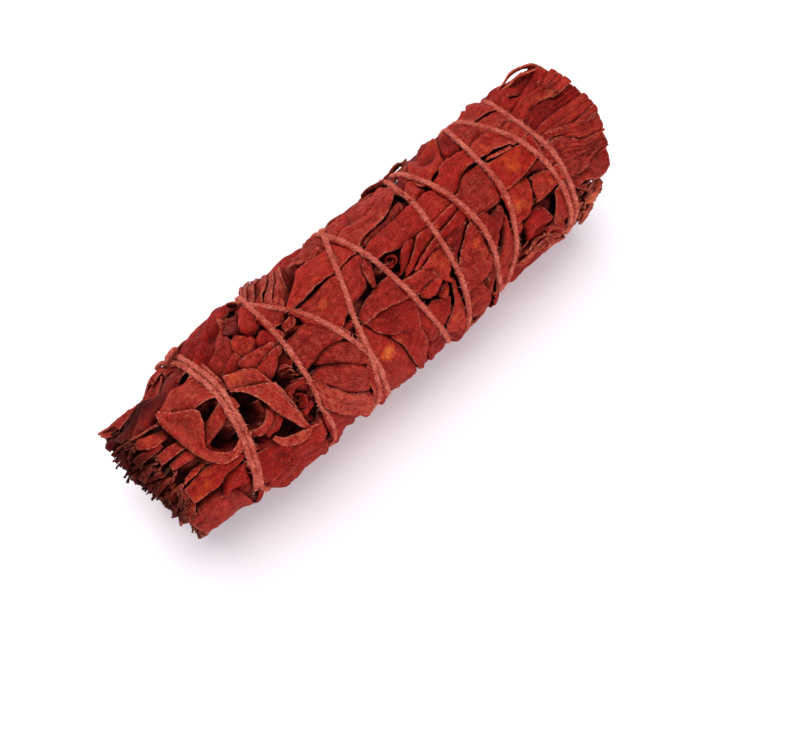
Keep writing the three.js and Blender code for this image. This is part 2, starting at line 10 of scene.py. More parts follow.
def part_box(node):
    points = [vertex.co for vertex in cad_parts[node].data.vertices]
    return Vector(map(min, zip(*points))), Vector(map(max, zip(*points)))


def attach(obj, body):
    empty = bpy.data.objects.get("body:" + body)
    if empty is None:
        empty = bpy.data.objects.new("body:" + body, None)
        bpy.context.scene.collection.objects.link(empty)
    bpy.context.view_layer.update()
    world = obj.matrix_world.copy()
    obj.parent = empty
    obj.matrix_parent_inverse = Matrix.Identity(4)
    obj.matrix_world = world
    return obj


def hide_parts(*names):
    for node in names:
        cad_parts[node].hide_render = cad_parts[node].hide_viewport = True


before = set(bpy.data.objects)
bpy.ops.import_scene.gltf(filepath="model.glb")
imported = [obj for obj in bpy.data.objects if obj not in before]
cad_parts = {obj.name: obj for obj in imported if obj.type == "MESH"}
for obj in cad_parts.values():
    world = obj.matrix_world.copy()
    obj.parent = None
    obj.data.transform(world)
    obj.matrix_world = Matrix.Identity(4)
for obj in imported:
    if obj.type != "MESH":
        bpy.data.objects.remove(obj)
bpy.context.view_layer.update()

# A bundle of dried sage lying along X. Lengths are in millimetres until a mesh is made.
# A place on it is a distance along the axis, an angle round it (0 is +Y, 90 is the top) and a radius.
MM = 0.001
HEART_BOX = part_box("sprig_middle")
AXIS_ACROSS = (HEART_BOX[0].y + HEART_BOX[1].y) / 2 / MM
AXIS_HEIGHT = 15.4
ALONG_SHIFT = 1.587
LEAF_RADIUS = 14.5
SPRIG_COUNT = 9
SECTOR = 360 / SPRIG_COUNT

# Camera
CAMERA_PLACE = (-93.86, -109.51, 281.69)
CAMERA_FORWARD = (0.29930, 0.32194, -0.89820)
CAMERA_RIGHT = (0.71714, -0.69685, -0.01080)
CAMERA_LENS = 73.1

# Bundle: how far the leaves reach at a distance along the axis, and how low they may come
REACH_PROFILE = [
    (-58, 12.2), (-50, 12.9), (-45, 13.2), (-41, 14.7), (-36, 15.6), (-26, 16.1), (-20, 15.7), (-12, 16.1),
    (0, 15.7), (16, 15.9), (24, 15.6), (36, 15.1), (46, 14.9), (50, 14.3), (55, 13.6),
]
HIGH_SIDE = 45
HIGH_SIDE_CHANGE = [
    (-47, -0.4), (-43.5, -1.9), (-40, -1.3), (-37.5, -0.2), (-18, 0), (-14.5, -0.9), (-10, -0.3),
    (-6.6, -1.2), (-1.8, 0.5), (2, 0), (6, -0.8), (10, -0.3), (15.3, -1.6), (19, -0.5), (23, -1.2),
    (27, 0.4), (33.5, 1.3), (40, -0.1), (45, 0.2), (50, -0.4), (56, 0.4),
]
LOW_SIDE = 200
LOW_SIDE_CHANGE = [
    (-38, 0), (-31, -0.7), (-25, -0.2), (-19.5, -0.6), (-14, 0), (0, 0), (7.8, 1.1), (14, 0.3), (19, -0.6),
    (24, 0), (32, -0.8), (37, 0), (41, 0.6), (46, 0),
]
# Where the two cut ends lie at angles round the bundle
NEAR_RIM = [
    (0, -53.4), (45, -54.8), (65, -56.6), (90, -57.4), (110, -56.4), (150, -54.7), (180, -53.2), (210, -51.8),
    (270, -51.6), (360, -53.4),
]
FAR_RIM = [
    (0, 53.0), (60, 53.7), (110, 53.9), (135, 52.8), (150, 51.6), (160, 49.2), (170, 46.4), (185, 45.0),
    (250, 46.0), (310, 50.5), (360, 53.0),
]
RIM_RADIUS = 12.5
CORE_RADIUS = 9.9
LEAF_FLOOR = 1.4
PRESS_DEPTH = 0.95
PRESS_WIDTH = 1.5
SIDE_WIDTH = 26
SQUASH_FROM = 8.0
FLUSH = 0.72
HOLLOW_KEPT = 0.35
PROUD = 0.75
FIELD_LIMIT = 0.7
CORE_FLOOR = 4.5
CORE_HOLLOW = 0.7

# Leaves
LEAF_WALL = 0.36
CLEARANCE = 0.05
FOLD_DRAWS = 6
ANY_PHASE = 6.28
INNER_STRETCH = 13.6

# Thread: places along the axis at 30, 60, 90, 120, 150 and 180 degrees of each turn
OUTWARD_TURNS = [
    [-36.2, -36.1, -36.1, -37.3, -39.2, -40.1],
    [-22.0, -20.1, -16.3, -13.2, -10.9, -10.5],
    [-2.2, -1.1, 0.4, 1.2, 2.5, 4.7],
    [18.5, 18.5, 19.7, 20.3, 19.9, 19.7],
    [34.0, 34.7, 37.4, 38.9, 39.2, 39.2],
]
HOMEWARD_TURNS = [
    [42.8, 41.2, 40.9, 41.2, 41.0, 41.0],
    [32.4, 30.3, 28.8, 28.0, 25.5, 22.8],
    [16.8, 14.8, 13.3, 12.2, 11.4, 10.8],
    [0.8, -2.8, -6.7, -10.1, -11.8, -12.3],
    [-20.1, -21.5, -22.2, -22.9, -24.0, -23.8],
    [-37.4, -37.3, -37.3, -38.4, -40.3, -41.3],
]
FIRST_MARK = 30
MARK_SPACING = 30
THREAD_RADIUS = 0.54
THREAD_LOBES = 3
THREAD_TWIST = 3.6
THREAD_STEP = 0.42
THREAD_SIDES = 15
ROUTE_STEP = 1.5
NEXT_TO = 180
TAUT_ROUNDS = 40
EASING_ROUNDS = 10
KNOT_ALONG = -36.9
KNOT_ANGLE = 37
KNOT_TURNS = 2
KNOT_POINTS = 40
TAILS = [
    [(-37.2, 33, 0.5), (-37.6, 26, 0.1), (-38.1, 18, 0.0), (-38.8, 9, 0.0)],
    [(-36.4, 33, 0.6), (-35.7, 25, 0.2), (-34.9, 15, 0.0)],
]
TAIL_SHARE = 0.92
FUZZ_DOUBLINGS = 13
FUZZ_LENGTH = (0.3, 1.3)
FUZZ_WIDTH = (0.030, 0.060)
FUZZ_SEED = 71
FLOOR_GAP = 0.02

# Woody stems
STEM_RING = 8.2
MIDDLE_STEM = 1.4
STEM_ROWS = 26
STEM_SIDES = 9
TWIG_NEAR = -44
TWIG_FAR = 40
TWIG_RADIUS = (0.25, 0.5)
LOOSE_STALKS = [(50, 12.6, 55.6), (62, 12.9, 55.0), (68, 12.7, 55.4)]

# Room
FLOOR_COLOUR = (0.985, 0.97, 0.99, 1)
FLOOR_HALF = 2.0
SKY_COLOUR = (0.90, 0.89, 1.0, 1)
SKY_STRENGTH = 0.44
LIGHTS = [
    ("Key", (0.02, 0.18, 0.76), 0.85, 4.4, (1.0, 0.96, 0.95)),
    ("Fill", (0.0, -0.60, 0.30), 0.6, 3.7, (0.99, 0.93, 0.94)),
    ("Side", (0.05, 0.55, 0.26), 0.4, 2.3, (1.0, 0.95, 0.95)),
]

chance = random.Random(20417)


def smooth(value):
    value = np.clip(value, 0.0, 1.0)
    return value * value * (3 - 2 * value)


def to_frame(along, angle, radius):
    """A place on the bundle as x, y and z in metres."""
    turn = np.radians(angle)
    x = np.asarray(along) + ALONG_SHIFT
    y = AXIS_ACROSS + radius * np.cos(turn)
    z = AXIS_HEIGHT + radius * np.sin(turn)
    return np.stack(np.broadcast_arrays(x, y, z), -1) * MM


def apart_by(angle, middle):
    """How far an angle lies from a middle one, the short way round."""
    return (angle - middle + 180) % 360 - 180


def rim_at(rim, angle, radius=RIM_RADIUS):
    """Where a cut end lies at an angle and a radius: nearer its mean toward the axis."""
    angles, places = zip(*rim)
    middle = sum(places) / len(places)
    return middle + (np.interp(np.mod(angle, 360), angles, places) - middle) * radius / RIM_RADIUS


# The thread's way round the bundle
def thread_route(turns, first_turn, last_angle, step):
    angles = []
    places = []
    for number, turn in enumerate(turns):
        for mark, along in enumerate(turn):
            angles.append((first_turn + number) * 360 + FIRST_MARK + mark * MARK_SPACING)
            places.append(along)
    angles = np.array(angles, float)
    places = np.array(places, float)
    before = np.maximum(np.arange(len(angles)) - 1, 0)
    after = np.minimum(np.arange(len(angles)) + 1, len(angles) - 1)
    slopes = (places[after] - places[before]) / (angles[after] - angles[before])
    route = np.arange(angles[0], last_angle + step / 2, step)
    k = np.clip(np.searchsorted(angles, route, "right") - 1, 0, len(angles) - 2)
    span = angles[k + 1] - angles[k]
    t = np.clip((route - angles[k]) / span, 0, 1)
    along = (
        places[k] * (1 + 2 * t) * (1 - t) ** 2
        + places[k + 1] * (3 - 2 * t) * t ** 2
        + slopes[k] * span * t * (1 - t) ** 2
        - slopes[k + 1] * span * t ** 2 * (1 - t)
    )
    return route, along


OUT_TURNS = len(OUTWARD_TURNS)
ALL_TURNS = OUT_TURNS + len(HOMEWARD_TURNS)
LAST_MARK = (ALL_TURNS - 1) * 360 + 180


def whole_route(step):
    out = thread_route([*OUTWARD_TURNS, HOMEWARD_TURNS[0]], 0, OUT_TURNS * 360 + FIRST_MARK - step, step)
    home = thread_route(HOMEWARD_TURNS, OUT_TURNS, LAST_MARK, step)
    return np.concatenate([out[0], home[0]]), np.concatenate([out[1], home[1]])


# A map of the highest surface reached so far, over every place
FIELD_START = -62.0
FIELD_STEP = 0.25
FIELD_ROWS = 488
FIELD_ALONG = FIELD_START + FIELD_STEP * np.arange(FIELD_ROWS)
FIELD_ANGLE = np.arange(360) + 0.5


def row_of(along):
    return np.clip(np.rint((along - FIELD_START) / FIELD_STEP).astype(int), 0, FIELD_ROWS - 1)


def column_of(angle):
    return np.floor(angle).astype(int) % 360


def read_map(values, along, angle):
    """The map's value at places, mixed between its cells."""
    row = np.clip((along - FIELD_START) / FIELD_STEP, 0, FIELD_ROWS - 1.001)
    column = angle - 0.5
    i = np.floor(row).astype(int)
    j = np.floor(column).astype(int)
    p = row - i
    q = column - j
    a = values[i, j % 360] * (1 - q) + values[i, (j + 1) % 360] * q
    b = values[i + 1, j % 360] * (1 - q) + values[i + 1, (j + 1) % 360] * q
    return a * (1 - p) + b * p


def blur_map(values, width):
    """The map smoothed over a width in millimetres."""
    reach = int(3 * width / FIELD_STEP)
    steps = np.arange(-reach, reach + 1)
    weights = np.exp(-0.5 * (steps * FIELD_STEP / width) ** 2)
    weights /= weights.sum()
    padded = np.pad(values, ((reach, reach), (0, 0)), "edge")
    rows = sum(w * padded[k:k + FIELD_ROWS] for k, w in enumerate(weights))
    return sum(w * np.roll(rows, s, 1) for s, w in zip(steps, weights))


def lowest_reach(floor):
    """How far anything may reach at each angle before it is as low as the floor height given."""
    down = -np.sin(np.radians(FIELD_ANGLE))
    return np.where(down > 0.05, (AXIS_HEIGHT - floor) / np.maximum(down, 0.05), 99.0)


def thread_distance():
    angles, places = whole_route(1.0)
    nearest = np.full((FIELD_ROWS, 360), 99.0)
    for angle, place in zip(angles, places):
        column = int(angle) % 360
        nearest[:, column] = np.minimum(nearest[:, column], np.abs(FIELD_ALONG - place))
    return nearest


THREAD_AWAY = thread_distance()

# Hollows between the leaves: along, angle, half length, half breadth and depth
HOLLOWS = [
    (-49.0, 122, 2.2, 0.8, 4.6), (-49.3, 130.7, 1.7, 0.4, 1.6), (-48.3, 94.8, 1.3, 0.9, 4.2),
    (-50.5, 95.5, 1.6, 0.7, 3.0), (-49.0, 153, 3.6, 0.8, 2.8), (-41.0, 122, 2.0, 1.7, 4.2),
    (-40.1, 98, 1.6, 0.9, 3.6), (-42.3, 62.3, 3.2, 0.8, 3.0), (-54.4, 81, 1.8, 1.6, 2.2),
    (-35.4, 116, 1.8, 2.9, 4.4), (-36.7, 138.4, 1.6, 0.9, 3.2), (-31.8, 142, 1.7, 1.0, 3.0),
    (-30.2, 148, 1.0, 0.6, 2.2), (-30.5, 158.3, 2.6, 0.4, 1.8), (-27.2, 120, 1.3, 0.7, 2.8),
    (-26.2, 132, 0.7, 0.9, 2.6), (-25.3, 149, 1.1, 1.3, 3.2), (-25.3, 137, 0.6, 1.2, 2.8),
    (-27.5, 110.5, 0.9, 0.6, 2.2), (-25.2, 80, 1.6, 0.7, 2.8), (-28.9, 75, 0.3, 1.4, 1.4),
    (-27.0, 91, 0.9, 0.25, 1.4), (-19.4, 125.5, 1.3, 0.6, 2.8), (-22.0, 115, 0.5, 1.9, 2.2),
    (-20.3, 96.5, 1.1, 0.6, 2.4), (-19.0, 84.5, 0.9, 0.8, 2.6), (-18.5, 118.7, 1.6, 0.35, 1.6),
    (-13.5, 172, 0.8, 1.1, 2.2), (-13.2, 148, 0.6, 0.9, 2.0), (-17.0, 76.3, 0.9, 0.6, 2.8),
    (-15.5, 71.5, 1.6, 1.0, 3.8), (-13.2, 63.5, 1.5, 1.2, 4.0), (-11.2, 55, 1.4, 1.3, 4.0),
    (-9.6, 47.5, 1.3, 1.3, 3.8), (-11.0, 112, 1.2, 0.6, 2.2), (-4.8, 108.7, 1.4, 0.6, 3.4),
    (-1.2, 106.5, 1.2, 0.9, 3.2), (-5.2, 147, 0.9, 0.6, 1.6), (3.2, 107.2, 1.2, 0.9, 3.4),
    (3.9, 103, 0.5, 1.2, 3.2), (2.6, 97.8, 1.1, 0.35, 2.0), (3.7, 116, 0.9, 0.5, 2.6),
    (3.1, 133.8, 1.0, 0.4, 2.4), (5.4, 142.7, 1.1, 0.5, 2.8), (8.0, 137.2, 1.6, 0.6, 2.8),
    (2.0, 172.5, 1.6, 0.7, 2.8), (5.3, 164.5, 0.5, 1.0, 2.2), (7.2, 155, 0.5, 1.0, 2.2),
    (9.0, 146.5, 0.5, 0.9, 2.4), (9.9, 163, 0.4, 1.2, 1.8), (12.9, 131.5, 0.7, 0.7, 2.6),
    (18.7, 116.4, 0.7, 0.4, 2.4), (17.0, 160.5, 1.3, 0.7, 2.6), (12.0, 78.5, 1.0, 0.4, 2.2),
    (16.5, 79.2, 1.3, 0.25, 1.6), (10.0, 74.3, 1.3, 0.5, 2.6), (12.6, 67.5, 1.3, 0.6, 2.6),
    (21.3, 146.5, 0.5, 0.9, 2.8), (22.8, 139, 0.55, 1.1, 3.2), (24.2, 132, 0.5, 0.8, 3.0),
    (25.6, 120.3, 0.8, 0.4, 2.8), (26.7, 88, 1.1, 0.35, 2.6), (25.9, 67.7, 1.0, 0.6, 3.0),
    (21.2, 74.6, 1.1, 0.25, 1.6), (28.0, 151, 0.8, 1.1, 2.6), (26.8, 156.7, 0.7, 0.5, 1.6),
    (33.7, 148, 0.9, 1.2, 4.2), (35.6, 142.3, 0.9, 0.4, 3.0), (25.0, 166, 0.6, 0.5, 1.4),
    (30.6, 93.6, 0.9, 0.3, 2.2), (36.0, 96.4, 1.1, 0.25, 1.8), (30.5, 88.3, 0.9, 0.25, 2.0),
    (35.5, 121.2, 1.1, 0.35, 2.2), (49.6, 127.6, 1.5, 0.5, 2.4), (44.5, 69, 1.3, 0.4, 1.8),
    (44.8, 80, 1.1, 0.4, 1.6), (39.8, 98, 0.5, 0.5, 2.0), (19.8, 44, 1.1, 0.9, 2.4),
]


def hollow_depth():
    depth = np.zeros((FIELD_ROWS, 360))
    for along, angle, half_length, half_breadth, deep in HOLLOWS:
        round_by = apart_by(FIELD_ANGLE, angle) * math.radians(1) * LEAF_RADIUS
        far = ((FIELD_ALONG[:, None] - along) / half_length) ** 2 + (round_by / half_breadth) ** 2
        depth = np.maximum(depth, deep * np.exp(-(far ** 2)))
    return depth


HOLLOW = hollow_depth()
field = np.minimum(np.full((FIELD_ROWS, 360), CORE_RADIUS), lowest_reach(CORE_FLOOR)) - CORE_HOLLOW * HOLLOW


def surface_at(along, angle):
    """The highest surface within a cell of each place."""
    row = row_of(along)
    column = column_of(angle)
    highest = field[row, column]
    for down in (-1, 0, 1):
        for aside in (-1, 0, 1):
            near_row = np.clip(row + down, 0, FIELD_ROWS - 1)
            highest = np.maximum(highest, field[near_row, (column + aside) % 360])
    return highest


def refine(values, times):
    """A grid of values with cells split evenly, for marking the map without holes."""
    rows, columns = values.shape
    r = np.linspace(0, rows - 1, (rows - 1) * times + 1)
    c = np.linspace(0, columns - 1, (columns - 1) * times + 1)
    i = np.minimum(r.astype(int), rows - 2)
    j = np.minimum(c.astype(int), columns - 2)
    p = (r - i)[:, None]
    q = (c - j)[None, :]
    top = values[i][:, j] * (1 - q) + values[i][:, j + 1] * q
    low = values[i + 1][:, j] * (1 - q) + values[i + 1][:, j + 1] * q
    return top * (1 - p) + low * p


def stamp(along, angle, radius):
    rows = row_of(refine(along, 4))
    columns = column_of(refine(angle, 4))
    np.maximum.at(field, (rows, columns), refine(radius, 4))


def even_grid(rows, columns):
    """Shares of the way from root to tip, and places from -1 at the left edge to 1 at the right."""
    share = np.linspace(0, 1, rows)[:, None] * np.ones((1, columns))
    across = np.ones((rows, 1)) * np.linspace(-1, 1, columns)[None, :]
    return share, across


def sprig_of(angle):
    return int(angle % 360 // SECTOR) + 1


def keep_leaf(sprig, places, blade, tone, warm, **marks):
    along, angle, radius = places
    leaves.append({
        "sprig": sprig, "along": along, "angle": angle, "radius": radius, "blade": np.stack(blade, -1),
        "tone": tone, "warm": warm, "number": len(leaves), **marks,
    })


# One leaf: its outline, its folds, and how it lies on what is under it
PLAIN_LEAF = {
    "rows": 30, "columns": 13, "bow": 0.0, "widest": 0.85, "blunt": 0.75, "neck": 0.12, "cut": 0.0,
    "crown": 0.35, "flat": 4.0, "ridge": 0.0, "tilt": 0.0, "pleats": 0, "pleat": 0.0, "roll": (),
    "roll_radius": 0.5, "creases": 2, "crease": 0.28, "ripple": 0.16, "rise": (0.0, 0.0), "stiff": 14,
    "tuck": 0.12, "thick": 0.34, "wrinkle": 0.05, "wrinkle_pitch": 4.6, "tone": None, "warm": 0.0,
    "sink": 0.35, "wave": 0.06, "lift": 0.0, "pit": 0.0,
}
leaves = []


def leaf_breadth(way, share, side):
    if way["cut"]:
        shape = 0.35 + 0.65 * np.minimum(1, share / 0.45) ** 0.7
    else:
        shape = way["neck"] + (1 - way["neck"]) * np.sin(np.pi * share ** way["widest"]) ** way["blunt"]
    phase = way["phase"] + 2.1 * side
    wave = 1 + way["wave"] * (np.sin(share * 13 + phase) + 0.6 * np.sin(share * 29 + 2 * phase))
    return way["breadth"] / 2 * np.maximum(shape, 0.02) * wave


def torn_edge(count):
    """How far a torn end comes short at each column: broad steps with a little fray."""
    steps = [chance.uniform(-1.3, 0.5) for _ in range(4)]
    broad = np.interp(np.linspace(0, 3, count), range(4), steps)
    return broad + np.array([chance.uniform(-0.35, 0.2) for _ in range(count)])


def rolled(aside, edge, radius, turn):
    """Carries what lies past an edge up and back over, round a curl."""
    past = np.maximum(aside - edge, 0)
    bend = np.minimum(past / radius, turn)
    flat = np.maximum(past - radius * turn, 0)
    across = np.minimum(aside, edge) + radius * np.sin(bend) + flat * np.cos(turn)
    height = radius * (1 - np.cos(bend)) + flat * np.sin(turn)
    return across, height


def draw_folds(way):
    way["crease_turns"] = [chance.uniform(-1.3, 1.3) for _ in range(FOLD_DRAWS)]
    way["crease_places"] = [chance.uniform(0.15, 0.9) for _ in range(FOLD_DRAWS)]
    way["crease_signs"] = [chance.choice((-1, 1)) for _ in range(FOLD_DRAWS)]


def fold_lines(way, x, y, length):
    """Straight creases across the blade, each with its two sides sloping away from it."""
    height = np.zeros_like(x)
    reach = 0.32 * length
    for number in range(way["creases"]):
        turn = way["crease_turns"][number]
        middle = way["crease_places"][number]
        distance = (x - middle * length) * math.cos(turn) + y * math.sin(turn)
        height += way["crease"] * np.maximum(0, 1 - np.abs(distance) / reach) * way["crease_signs"][number]
    return height


def settle(base, own, stiff):
    """Lays a sheet over the surface under it: stiff sheets bridge what is hollow."""
    lying = base.copy()
    for _ in range(stiff):
        padded = np.pad(lying, 1, "edge")
        mean = (padded[:-2, 1:-1] + padded[2:, 1:-1] + padded[1:-1, :-2] + padded[1:-1, 2:]) / 4
        lying = np.maximum(base, mean)
    return lying + own


def grow(root, tip, breadth, **ways):
    """A leaf given by its root, its tip and its breadth."""
    way = {**PLAIN_LEAF, **ways, "breadth": breadth}
    way["phase"] = chance.uniform(0, ANY_PHASE)
    draw_folds(way)
    tone = chance.random() if way["tone"] is None else way["tone"]
    run = tip[0] - root[0]
    climb = math.radians(tip[1] - root[1]) * LEAF_RADIUS
    length = math.hypot(run, climb)
    heading = (run / length, climb / length)
    columns = way["columns"]
    share, across = even_grid(way["rows"], columns)
    half = np.where(across < 0, leaf_breadth(way, share, -1), leaf_breadth(way, share, 1))
    flat_x = share * length
    flat_y = across * half
    x = flat_x
    y = flat_y
    if way["cut"]:
        x = x + smooth((share - 0.7) / 0.3) * way["cut"] * torn_edge(columns)[None, :]
    own = way["crown"] * (1 - np.abs(across) ** way["flat"]) - way["tuck"]
    own = own + way["ridge"] * (1 - np.abs(across)) * np.sin(np.pi * np.clip(share, 0, 1))
    own = own + way["tilt"] * across * np.sin(np.pi * share ** 0.7)
    own = own + way["ripple"] * np.sin(share * 9 + across * 2.5 + way["phase"])
    own = own + way["wrinkle"] * np.sin(flat_y * way["wrinkle_pitch"] + 2 * share + way["phase"])
    if way["pleats"]:
        fan = (across * way["pleats"] + way["phase"]) % 1
        own = own + way["pleat"] * (np.abs(fan - 0.5) * 4 - 1) * np.minimum(1, share * 3)
    own = own + fold_lines(way, flat_x, flat_y, length)
    own = own + way["rise"][0] * (1 - share) ** 3 + way["rise"][1] * share ** 3 + way["lift"]
    for side, portion, turn in way["roll"]:
        radius = way["roll_radius"] * (0.6 + 0.6 * np.sin(np.pi * share))
        bent, height = rolled(y * side, half * portion, radius, turn)
        y = bent * side
        own = own + height * np.minimum(1, share * 6) * np.minimum(1, (1 - share) * 8)
    y = y + way["bow"] * 4 * share * (1 - share)
    along = root[0] + heading[0] * x - heading[1] * y
    angle = root[1] + np.degrees((heading[1] * x + heading[0] * y) / LEAF_RADIUS)
    base = surface_at(along, angle) + way["thick"] + CLEARANCE
    base = base - way["sink"] * (1 - smooth(share * 6))
    radius = settle(base, own, way["stiff"]) - way["pit"] * read_map(HOLLOW, along, angle)
    stamp(along, angle, radius)
    edge = np.minimum(half * (1 - np.abs(across)), length * (1 - share))
    keep_leaf(sprig_of(root[1]), (along, angle, radius), (flat_x, flat_y, edge), tone, way["warm"])


# The core of each sprig: packed inner leaves, hardly seen between the outer ones
def core_sheet(number):
    middle = (number - 0.5) * SECTOR
    share, across = even_grid(60, 9)
    angle = middle + across * (SECTOR / 2 + 2)
    near = rim_at(NEAR_RIM, angle) + 5
    far = rim_at(FAR_RIM, angle) - 5
    along = near + (far - near) * share
    radius = surface_at(along, angle) + 0.3 * np.sin(angle * 0.55 + 0.12 * along) - 0.3
    blade = (along, (angle - middle) * 0.25, 3 + 0 * along)
    keep_leaf(number, (along, angle, radius), blade, 0.9, 0.0)


def under_coat():
    """Rings of broad leaves laid lengthwise, each ring over the roots of the one before."""
    rings = [(14, FAR_RIM), (-22, 20), (-20, NEAR_RIM), (16, FAR_RIM), (-16, 24), (-24, NEAR_RIM)]
    for ring, (start, end) in enumerate(rings):
        for k in range(SPRIG_COUNT):
            angle = (k + 0.5) * SECTOR + chance.uniform(-4, 4) + (ring // 3) * SECTOR / 2
            root = (start + chance.uniform(-2, 2), angle)
            to_end = ring % 3 != 1
            tip_angle = angle + chance.uniform(-14, 14)
            reach = float(rim_at(end, tip_angle)) if to_end else end
            tip = (reach + chance.uniform(-0.8, 0.6), tip_angle)
            grow(
                root, tip, 10.5 if ring % 3 != 2 else 9, rows=34, columns=9, cut=1.0 if to_end else 0.0,
                blunt=0.4, pit=0.9, stiff=3, crown=0.15, crease=0.2, tone=chance.uniform(0.5, 1.0),
            )


def middle_coat():
    """Narrower leaves, folded and leaning either way, that show between the top ones."""
    for ring in range(8):
        for k in range(11):
            start = -44 + ring * 11.5 + chance.uniform(-3, 3)
            angle = k * 360 / 11 + (ring % 2) * 16 + chance.uniform(-6, 6)
            lean = chance.choice((-1, 1)) * chance.uniform(10, 45)
            length = chance.uniform(12, 18) * chance.choice((-1, 1))
            tip = (float(np.clip(start + length, -52, 48)), angle + lean)
            grow(
                (start, angle), tip, chance.uniform(4, 6.5), rows=20, columns=9, pit=0.95, stiff=3,
                ridge=chance.uniform(0, 0.5), tilt=chance.uniform(-0.4, 0.4), crown=0.3,
                tone=chance.uniform(0.3, 1.0), bow=chance.uniform(-1.5, 1.5),
            )


def side_leaves(low, high, spacing):
    """The leaves of the hidden side, each of one of these kinds."""
    kinds = [
        {"ridge": 0.6, "crown": 0.4},
        {"crown": 0.9, "tuck": 0.3},
        {"tilt": 0.5, "crown": 0.3},
        {"roll": ((1, 0.55, 2.4),), "crown": 0.3},
        {"roll": ((-1, 0.5, 2.8),), "tilt": 0.3},
        {"pleats": 2, "pleat": 0.25},
        {"creases": 4, "crease": 0.4},
    ]
    for ring in range(10):
        middle = low + (ring % 2) * spacing / 2
        while middle < high:
            start = -45 + ring * 9.6 + chance.uniform(-3.5, 3.5)
            angle = middle + chance.uniform(-5, 5)
            lean = chance.choice((-1, 1)) * chance.uniform(5, 42)
            length = chance.uniform(11, 22) * chance.choice((-1, 1))
            tip = (float(np.clip(start + length, -50, 47)), min(angle + lean, high + 8))
            kind = kinds[chance.randrange(len(kinds))]
            grow(
                (start, angle), tip, chance.uniform(4.5, 8.5), bow=chance.uniform(-2, 2),
                widest=chance.uniform(0.7, 1.3), blunt=chance.uniform(0.5, 1.0), **kind,
            )
            middle += spacing * chance.uniform(0.85, 1.15)


def end_leaves(low, high, spacing):
    """Long leaves whose cut ends make the two rims."""
    for start, rim in ((-40, NEAR_RIM), (38, FAR_RIM), (-38, NEAR_RIM), (36, FAR_RIM)):
        angle = low + chance.uniform(0, spacing)
        while angle < high:
            root = (start + chance.uniform(-2, 2), angle)
            tip_angle = angle + chance.uniform(-7, 7)
            tip = (float(rim_at(rim, tip_angle)) + chance.uniform(-1.2, 0.5), tip_angle)
            grow(
                root, tip, chance.uniform(4.5, 7.5), cut=1.0, ridge=chance.uniform(0, 0.6),
                pleats=chance.choice((0, 2, 3)), pleat=0.22, tilt=chance.uniform(-0.4, 0.4),
            )
            angle += spacing * chance.uniform(0.8, 1.2)


# One leaf given by its two long edges, from root to tip, where it has been measured
PLAIN_PANEL = {
    "crown": 0.3, "flat": 4.0, "tucks": (0.55, 0.55, 0.3, 0.5), "fold": 0.0, "fold_line": (0.0, 0.0),
    "lift": 0.0, "creases": 2, "crease": 0.16, "wrinkle": 0.05, "wrinkle_pitch": 4.2, "stiff": 26,
    "thick": 0.34, "warm": 0.0, "ripple": 0.1, "tilt": 0.0, "pleats": 0, "pleat": 0.0, "pit": 0.0,
    "frayed": 0.12, "rise": (0.0, 0.0), "dusty": None,
}
TUCK_WIDTH = 0.32
ROW_PITCH = 0.4
COLUMN_PITCH = 0.36


def edge_line(points, count):
    """An edge through its measured points, with its corners eased, at even steps."""
    points = np.array(points, float)
    scale = np.array([1.0, math.radians(1) * LEAF_RADIUS])
    line = smooth_line(points * scale, 8)
    gaps = np.linalg.norm(np.diff(line, axis=0), axis=1)
    lengths = np.concatenate([[0], np.cumsum(gaps)])
    stops = np.linspace(0, lengths[-1], count)
    even = np.stack([np.interp(stops, lengths, line[:, axis]) for axis in range(2)], -1)
    return even, lengths[-1]


